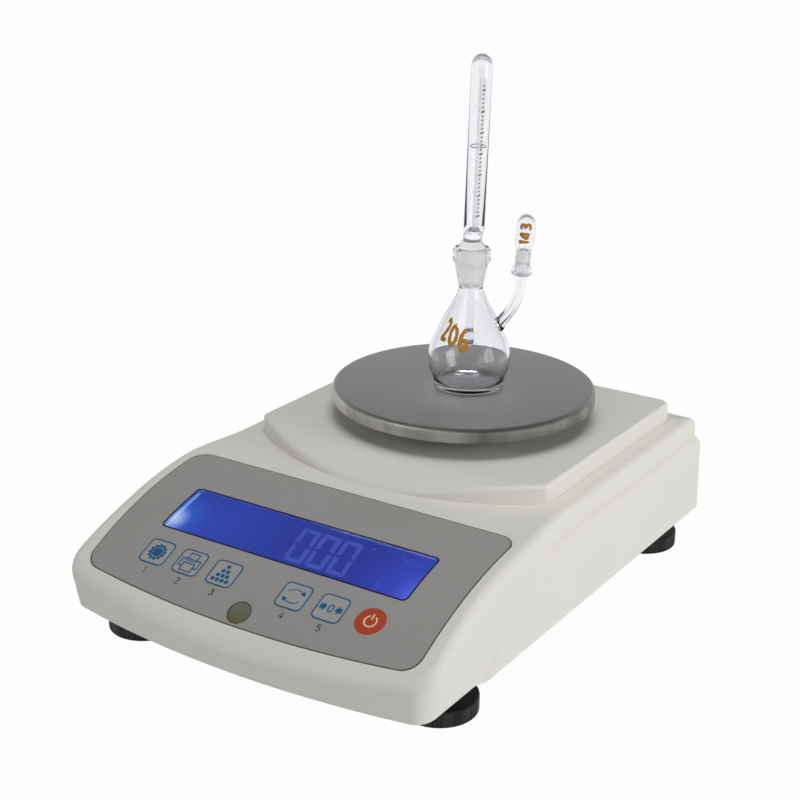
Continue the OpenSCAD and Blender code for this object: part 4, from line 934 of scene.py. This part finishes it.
# ---------------------------------------------------------------- electronics
# Green solder-masked boards with black and pale components, on standoffs inside the housing. The
# ports stand in the rear wall: a nine-pin serial connector in a steel shell and a black DC jack.
solder_mask = grained("green_solder_mask", "#1f5a34", "#1b5230", 0.35, 3.0, 0.02, ior=1.5)
give(solder_mask, "main_board", "display_board", "key_board", "port_board")
chip_black = grained("black_epoxy_parts", "#1a1b1d", "#26272a", 0.45, 0.8, 0.02, ior=1.53)
give(chip_black, "board_parts", "key_switches", "dc_jack")
drawn_steel = grained("drawn_steel_shell", "#b4b6b8", "#a6a8ab", 0.28, 1.2, 0.01, metallic=1.0)
give(drawn_steel, "serial_port")
ribbon_pvc = grained("grey_ribbon_pvc", "#8e9093", "#7f8185", 0.5, 1.27, 0.05, ior=1.53)
give(ribbon_pvc, "display_ribbon", "cell_lead")

# ---------------------------------------------------------------- weighing chain
# The load cell is a milled aluminium bar that bends a little. It carries an arm, a post through the
# platform and a cast spider, on whose rubber buffers the pan rests.
milled_aluminium = grained("milled_aluminium", "#c3c5c7", "#b6b8bb", 0.32, 1.0, 0.015, metallic=1.0)
give(milled_aluminium, "cell_block", "load_cell", "carrier_arm", "load_post", "pan_spider")
give(pad_rubber, "pan_buffers")

# ---------------------------------------------------------------- weighing pan
# A dish pressed from 1 mm stainless sheet, 130 mm across, with a turned-down rim. It is brushed in
# one direction and has a dull grey satin shine. It lifts off its buffers.
pan_top, pan_r, rim_r = 93.75, 65.0, 2.1


def rounded(x, z, r, turns):
    """Points of a round edge or dome in a turned profile: its centre, radius and turns in degrees."""
    return [(x + r * math.cos(math.radians(a)), z + r * math.sin(math.radians(a))) for a in turns]


pan_inside = rounded(pan_r - rim_r, pan_top - rim_r, rim_r - 1, range(90, -1, -15))
turned_down = rounded(pan_r - rim_r, pan_top - rim_r, rim_r, range(0, 91, 10))
pan_line = [(0, pan_top - 1)] + pan_inside + [
    (pan_r - 1, pan_top - 6.5), (pan_r - 0.8, pan_top - 6.72), (pan_r - 0.5, pan_top - 6.75),
    (pan_r - 0.2, pan_top - 6.7), (pan_r, pan_top - 6.45)] + turned_down + [(30, pan_top), (0, pan_top)]
pan_at = Matrix.Translation(Vector((0, pan_y, 0)) * mm)
pan = shape("weighing_dish", lathe("weighing_dish", pan_line, pan_at, 192))
soften(pan, 50)

brushed_steel, tree, out = new_material("brushed_stainless_steel")
along = add_node(tree, "Mapping", {"Rotation": (0, 0, math.radians(24)), "Scale": (0.05, 2.2, 1.0)},
                 Vector=in_mm(tree))
# Brush lines are about 0.05 mm wide; they are drawn 0.4 mm wide to show.
lines = add_node(tree, "TexNoise", {"Scale": 1.0, "Detail": 3.0, "Roughness": 0.6}, Vector=along.outputs[0])
cloud = add_node(tree, "TexNoise", {"Scale": 0.03, "Detail": 2.0}, Vector=in_mm(tree))
shift = add_node(tree, "MapRange", {3: -0.12, 4: 0.12}, Value=cloud.outputs["Fac"])
tone = add_node(tree, "Math", {"operation": "ADD", "use_clamp": True},
                i0=lines.outputs["Fac"], i1=shift.outputs[0])
steel_tone = add_node(tree, "Mix", {"data_type": "RGBA", 6: linear("#d0cec8"), 7: linear("#e2e0da")},
                      Factor=tone.outputs[0])
gloss = add_node(tree, "MapRange", {3: 0.34, 4: 0.46}, Value=lines.outputs["Fac"])
relief = add_node(tree, "Bump", {"Strength": 0.35, "Distance": 0.00002}, Height=lines.outputs["Fac"])
# The turned-down rim's upright light and dark streaks, its lighter left side and its darker right side
# are painted reflections and painted shade in its colour, drawn here as the photograph shows them.
spot = add_node(tree, "SeparateXYZ", None, Vector=in_mm(tree))
upright = add_node(tree, "Mapping", {"Scale": (0.055, 0.055, 0.0)}, Vector=in_mm(tree))
streaks = add_node(tree, "TexNoise", {"Scale": 1.0, "Detail": 5.0}, Vector=upright.outputs[0])
streak = add_node(tree, "MapRange", {1: 0.34, 2: 0.66, 3: 0.35, 4: 1.0}, Value=streaks.outputs["Fac"])
# Painted reflection and shade: the rim is made lighter towards the left and darker towards the right.
across = add_node(tree, "MapRange", {1: -58.0, 2: 5.0, 3: 2.2, 4: 0.62}, Value=spot.outputs["X"])
rim_reflection = add_node(tree, "Math", {"operation": "MULTIPLY", "use_clamp": True},
                i0=streak.outputs[0], i1=across.outputs[0])
on_top = add_node(tree, "MapRange", {1: pan_top - 1.2, 2: pan_top - 0.5, 3: 0.0, 4: 1.0},
                  Value=spot.outputs["Z"])
share = add_node(tree, "Math", {"operation": "MAXIMUM"}, i0=rim_reflection.outputs[0], i1=on_top.outputs[0])
reflected_rim_tone = add_node(tree, "VectorMath", {"operation": "SCALE"},
                     i0=steel_tone.outputs[2], Scale=share.outputs[0])
skin = add_node(tree, "BsdfPrincipled", {"Metallic": 1.0},
                Base_Color=reflected_rim_tone.outputs[0], Roughness=gloss.outputs[0], Normal=relief.outputs[0])
tree.links.new(skin.outputs[0], out.inputs["Surface"])
finish_piece(pan, brushed_steel, "weighing_pan", "pan_steel", "pan")

# ---------------------------------------------------------------- flask
# A blown borosilicate pear with a ground neck and a side arm fused to its shoulder, about 1.3 mm
# thick. The neck's ground socket is frosted; the rest is fire-polished and clear.
flask_at = Matrix.Translation(Vector((2.5, 53.8, pan_top)) * mm) @ Matrix.Rotation(math.radians(30), 4, "Z")
borosilicate = clear_plastic("clear_borosilicate", "#f8f8fb", 1.38, 0.004)
ground_glass = clear_plastic("ground_borosilicate", "#fafbf9", 1.3, 0.4, 0.86)


def catmull(points, per):
    """A finer line of points that runs smoothly through the given ones."""
    fine = []
    for i in range(len(points) - 1):
        a, b, c, d = (points[max(0, min(len(points) - 1, i + k))] for k in (-1, 0, 1, 2))
        for step in range(per):
            t = step / per
            fine.append(tuple(
                0.5 * (2 * q + (r - p) * t + (2 * p - 5 * q + 4 * r - s) * t * t
                       + (3 * q - p - 3 * r + s) * t ** 3)
                for p, q, r, s in zip(a, b, c, d)))
    return fine + [tuple(points[-1])]


def sweep(name, points, radii, steps=32):
    """A round bar along a line of points in mm, of a radius at each, with flat ends."""
    made = bmesh.new()
    line = [Vector(p) for p in points]
    side = Vector((0, 1, 0))
    rings = []
    for i, p in enumerate(line):
        ahead = (line[min(i + 1, len(line) - 1)] - line[max(i - 1, 0)]).normalized()
        side = (side - ahead * side.dot(ahead)).normalized()
        other = ahead.cross(side)
        rings.append([made.verts.new((p + (side * math.cos(a) + other * math.sin(a)) * radii[i]) * mm)
                      for a in (2 * math.pi * k / steps for k in range(steps))])
    for a, b in zip(rings, rings[1:]):
        for i in range(steps):
            made.faces.new((a[i], a[(i + 1) % steps], b[(i + 1) % steps], b[i]))
    made.faces.new(rings[0])
    made.faces.new(rings[-1])
    return closed_up(name, made)


def also_finish(piece, material, to_place, ground_at):
    """Puts a second material on the faces where ground_at holds for their centres, in mm from a place."""
    piece.data.materials.append(material)
    for face in piece.data.polygons:
        if ground_at(to_place @ face.center / mm):
            face.material_index = 1


pear = catmull([
    (16.16, 0.0), (17.07, 0.5), (17.37, 2.0), (18.18, 5.5), (19.29, 8.5), (20.0, 12.0), (20.2, 15.0),
    (19.9, 18.0), (18.79, 22.0), (16.77, 26.5), (13.33, 33.6), (10.1, 39.5), (7.47, 44.5), (5.9, 48.5),
    (5.8, 50.0)], 4)
lip = catmull([
    (5.8, 50.0), (8.1, 61.5), (8.95, 63.0), (9.1, 64.5), (9.1, 67.5), (8.7, 69.0), (8.0, 69.5)], 2)
outside = [(0, 0.7), (12.0, 0.5), (15.0, 0.0)] + pear + lip[1:] + [(0, 69.5)]
hollow = [(6.6, 69.5), (5.6, 60.0), (4.6, 50.0)] + catmull([
    (4.6, 50.0), (4.5, 48.5), (6.17, 44.0), (8.8, 39.0), (12.03, 33.0), (15.47, 26.0), (17.49, 21.6),
    (18.6, 17.8), (18.9, 15.0), (18.7, 12.0), (17.99, 9.0), (16.88, 6.2), (15.8, 3.4), (14.6, 2.3)], 4)[1:]
flask = shape("pear_flask", lathe("pear_flask", outside, flask_at, 128))

# The arm leaves the shoulder at a slope, bends upright at its elbow and ends in a cone for the cap.
elbow, slope, lean = Vector((23.2, 0, 42.8)), math.radians(38), math.radians(3.5)
slope_way = Vector((math.sin(slope), 0, math.cos(slope)))
upright_way = Vector((math.sin(lean), 0, math.cos(lean)))
bend = [elbow - slope_way * 9 * (1 - t) ** 2 + upright_way * 9 * t ** 2
        for t in (i / 12 for i in range(13))]
arm_line = [elbow - slope_way * 16.4, elbow - slope_way * 12] + bend + [
    elbow + upright_way * z for z in (13.2, 13.3, 26.2)]
arm = sweep("side_arm", arm_line, [3.6, 2.9] + [2.65] * 14 + [2.85, 2.45])
arm.transform(flask_at)
cut_or_join(flask, arm, "UNION")
cut_or_join(flask, lathe("flask_room", [(0, 71.0), (6.6, 71.0)] + hollow + [(0, 2.6)], flask_at, 128))
bore_line = [elbow - slope_way * 19.4] + bend + [elbow + upright_way * 27.5]
bore = sweep("arm_bore", bore_line, [1.1] * len(bore_line), 20)
bore.transform(flask_at)
cut_or_join(flask, bore)
soften(flask, 35)
finish_piece(flask, borosilicate, "flask_body", "clear_glass", "flask")
to_flask = flask_at.inverted()
also_finish(flask, ground_glass, to_flask,
            lambda c: 50.5 < c.z < 69.0 and math.hypot(c.x, c.y) < 4.3 + (c.z - 48.0) * 0.13)

# ---------------------------------------------------------------- thermometer
# Its ground stopper seats in the flask's neck. A stem and bulb hang below in the liquid's room, and
# a closed tube stands above with an opal scale strip and a capillary inside.
tilt_at = Vector((0.6, 0, 74.0)) * mm
tube_at = flask_at @ Matrix.Translation(tilt_at) @ Matrix.Rotation(
    math.radians(1.2), 4, "Y") @ Matrix.Translation(Vector((0, 0, -74.0)) * mm)
stopper = [
    (0, 19.6), (1.4, 19.9), (2.1, 20.8), (2.3, 22.0), (2.3, 26.2), (2.1, 27.2), (1.7, 28.2), (1.6, 29.0),
    (1.6, 50.4), (4.3, 50.5), (4.59, 50.7), (6.52, 69.3), (6.54, 69.6), (6.3, 70.6), (5.3, 71.7),
    (4.6, 72.6), (4.3, 74.0), (4.3, 76.0), (0, 76.0)]
thermometer = shape("glass_thermometer", lathe("glass_thermometer", stopper, flask_at, 96))
tube_top, tube_r = 161.3, 4.95
waist = catmull([(4.2, 74.2), (4.25, 75.2), (4.6, 76.8), (tube_r, 78.5), (tube_r, 82.0)], 4)
tube_line = [(0, 74.2), (4.2, 74.2)] + waist + rounded(0, tube_top - tube_r, tube_r, range(0, 81, 10))
cut_or_join(thermometer, lathe("scale_tube", tube_line + [(0, tube_top)], tube_at, 96), "UNION")
tube_room = [(0, 77.6), (3.2, 77.8), (4.05, 79.4)]
tube_room += rounded(0, 156.35, 4.05, range(0, 81, 10)) + [(0, 160.4)]
cut_or_join(thermometer, lathe("tube_room", tube_room, tube_at, 96))
bulb_room = [(0, 20.6), (1.2, 20.9), (1.65, 22.0), (1.65, 25.9), (1.1, 27.0), (0, 27.3)]
cut_or_join(thermometer, lathe("bulb_room", bulb_room, flask_at, 48))
soften(thermometer, 35)
finish_piece(thermometer, borosilicate, "thermometer_body", "clear_glass", "thermometer")
also_finish(thermometer, ground_glass, to_flask,
            lambda c: 50.45 < c.z < 69.4 and math.hypot(c.x, c.y) > 2.0)

# The scale is a strip of opal glass beside the capillary. Fired enamel ticks, 2 mm apart, are drawn
# about twice their real weight to show.
opal_glass = clear_plastic("opal_glass", "#f6f6f4", 1.2, 0.3)
give(opal_glass, "thermometer_scale")
tick_enamel = inked("dark_tick_enamel", "#3b3c40", "#47484c")
strip_turn = Matrix.Rotation(math.radians(-120), 4, "Z")
first_tick_z, tick_step = 84.5, 2
ticks = bmesh.new()
for number in range(32):
    z = first_tick_z + number * tick_step
    reach, thick = (2.1, 0.42) if number % 5 == 0 else (1.2, 0.3)
    corners = [(x, 1.53, z + dz) for x, dz in (
        (-reach, -thick), (reach * 0.6, -thick), (reach * 0.6, thick), (-reach, thick))]
    ticks.faces.new([ticks.verts.new(tube_at @ strip_turn @ (Vector(p) * mm)) for p in corners])
tick_marks = shape("scale_ticks", mesh_of("scale_ticks", ticks))
finish_piece(tick_marks, tick_enamel, "thermometer_body", "milk_glass")
# A wire clip holds the capillary in the tube.
clip_line = [(3.6, 118.0), (3.9, 118.2), (3.6, 118.5), (3.3, 118.2)]
clip = shape("scale_clip", lathe("scale_clip", clip_line, tube_at, 40))
soften(clip, 60)
finish_piece(clip, drawn_steel, "thermometer_body", "milk_glass")

# ---------------------------------------------------------------- side arm cap
# A small blown cap with a ground socket that sits on the side arm's cone.
upright_at = flask_at @ Matrix.Translation(elbow * mm) @ Matrix.Rotation(lean, 4, "Y") @ Matrix.Translation(
    Vector((0, 0, -elbow.z)) * mm)
cap_r, cap_inner_r, dome_z = 4.45, 3.4, 82
cap_outside = catmull([
    (2.95, 56.3), (4.0, 56.35), (4.75, 57.1), (4.9, 58.4), (4.8, 59.8), (4.2, 61.0), (3.72, 62.0),
    (3.65, 64.0), (3.65, 68.0), (3.9, 69.6), (4.4, 71.2), (cap_r, 73.0)], 3)
cap_dome = rounded(0, dome_z, cap_r, range(0, 90, 10)) + [(0, dome_z + cap_r)]
cap_room = [(0, dome_z + cap_inner_r)] + rounded(0, dome_z, cap_inner_r, range(80, -1, -10))
cap_socket = [(cap_inner_r, 72.0), (3.2, 70.6), (2.53, 69.4), (2.9, 56.9)]
cap = shape("arm_cap", lathe("arm_cap", cap_outside + cap_dome + cap_room + cap_socket, upright_at, 64))
soften(cap, 35)
finish_piece(cap, borosilicate, "cap_body", "clear_glass", "side_arm_cap")
also_finish(cap, ground_glass, upright_at.inverted(), lambda c: c.z < 69.5 and math.hypot(c.x, c.y) < 3.9)

# ---------------------------------------------------------------- painted numbers
# The flask and its cap are numbered by hand in amber glass paint, so that they stay a matched pair.
# The numbers are plain ones. The strokes stand about 0.2 mm proud, with round ends.
amber_paint = grained("amber_glass_paint", "#c08a22", "#ab7418", 0.3, 1.4, 0.06, ior=1.5)


def painted(name, lines, width, place, body):
    """Brush strokes along lines of (u, v) points, pressed flat on the glass at place(u, v, lift)."""
    made = bmesh.new()
    for line in lines:
        pen = catmull(line, 6)
        rings = []
        for i, (u, v) in enumerate(pen):
            bu, bv = pen[max(0, i - 1)]
            au, av = pen[min(len(pen) - 1, i + 1)]
            size = math.hypot(au - bu, av - bv) or 1.0
            su, sv = -(av - bv) / size, (au - bu) / size
            end = min(1.0, 0.35 + 0.4 * min(i, len(pen) - 1 - i))
            wide = width / 2 * end * (1 + 0.10 * math.sin(i * 0.9 + line[0][0] * 3))
            rings.append([made.verts.new(place(u + su * wide * math.cos(a), v + sv * wide * math.cos(a),
                                               0.02 + 0.2 * end * math.sin(a)))
                          for a in (math.pi * k / 8 for k in range(9))])
        for a, b in zip(rings, rings[1:]):
            for k in range(8):
                made.faces.new((a[k], a[k + 1], b[k + 1], b[k]))
            made.faces.new((a[8], a[0], b[0], b[8]))
        made.faces.new(rings[0])
        made.faces.new(rings[-1])
    piece = shape(name, closed_up(name, made))
    soften(piece, 60)
    finish_piece(piece, amber_paint, body, "clear_glass")


def on_belly(u, v, lift):
    """A place on the flask's belly: u round it and v above the foot, in mm."""
    below = max((p for p in pear if p[1] <= v), key=lambda p: p[1])
    above = min((p for p in pear if p[1] > v), key=lambda p: p[1])
    r = blend_to(below[0], above[0], (v - below[1]) / (above[1] - below[1])) + lift
    turn = math.radians(-80 - 30) + u / 17.5
    return flask_at @ (Vector((r * math.cos(turn), r * math.sin(turn), v)) * mm)


belly_number = [
    [(-7.6, 29.6), (-6.4, 30.9), (-5.1, 29.8), (-5.4, 27.4), (-7.0, 24.4), (-8.1, 22.2), (-6.6, 22.0),
     (-4.8, 21.8)],
    [(-0.2, 28.6), (-1.8, 28.4), (-3.0, 25.6), (-2.2, 21.4), (-0.6, 20.7), (0.8, 23.0), (0.9, 26.2),
     (-0.2, 28.5)],
    [(6.2, 27.6), (4.6, 26.2), (3.3, 23.0), (3.6, 20.0), (5.2, 18.6), (6.7, 20.2), (6.2, 22.4), (4.6, 22.8),
     (3.5, 21.4)]]
painted("flask_number", [[(u - 2, v + 4.5) for u, v in line] for line in belly_number], 2.1,
        on_belly, "flask_body")


def on_cap(u, v, lift):
    """A place on the cap's round side: u round it and v up it, in mm."""
    turn = math.radians(-62 - 30) + u / cap_r
    r = cap_r + lift
    return upright_at @ (Vector((r * math.cos(turn), r * math.sin(turn), v)) * mm)


cap_number = [[(-gy * 2.9, middle + gx * 2.9) for gx, gy in line]
              for digit, middle in (("1", 73.6), ("4", 76.9), ("3", 80.9)) for line in digit_lines[digit]]
painted("cap_number", cap_number, 1.5, on_cap, "cap_body")
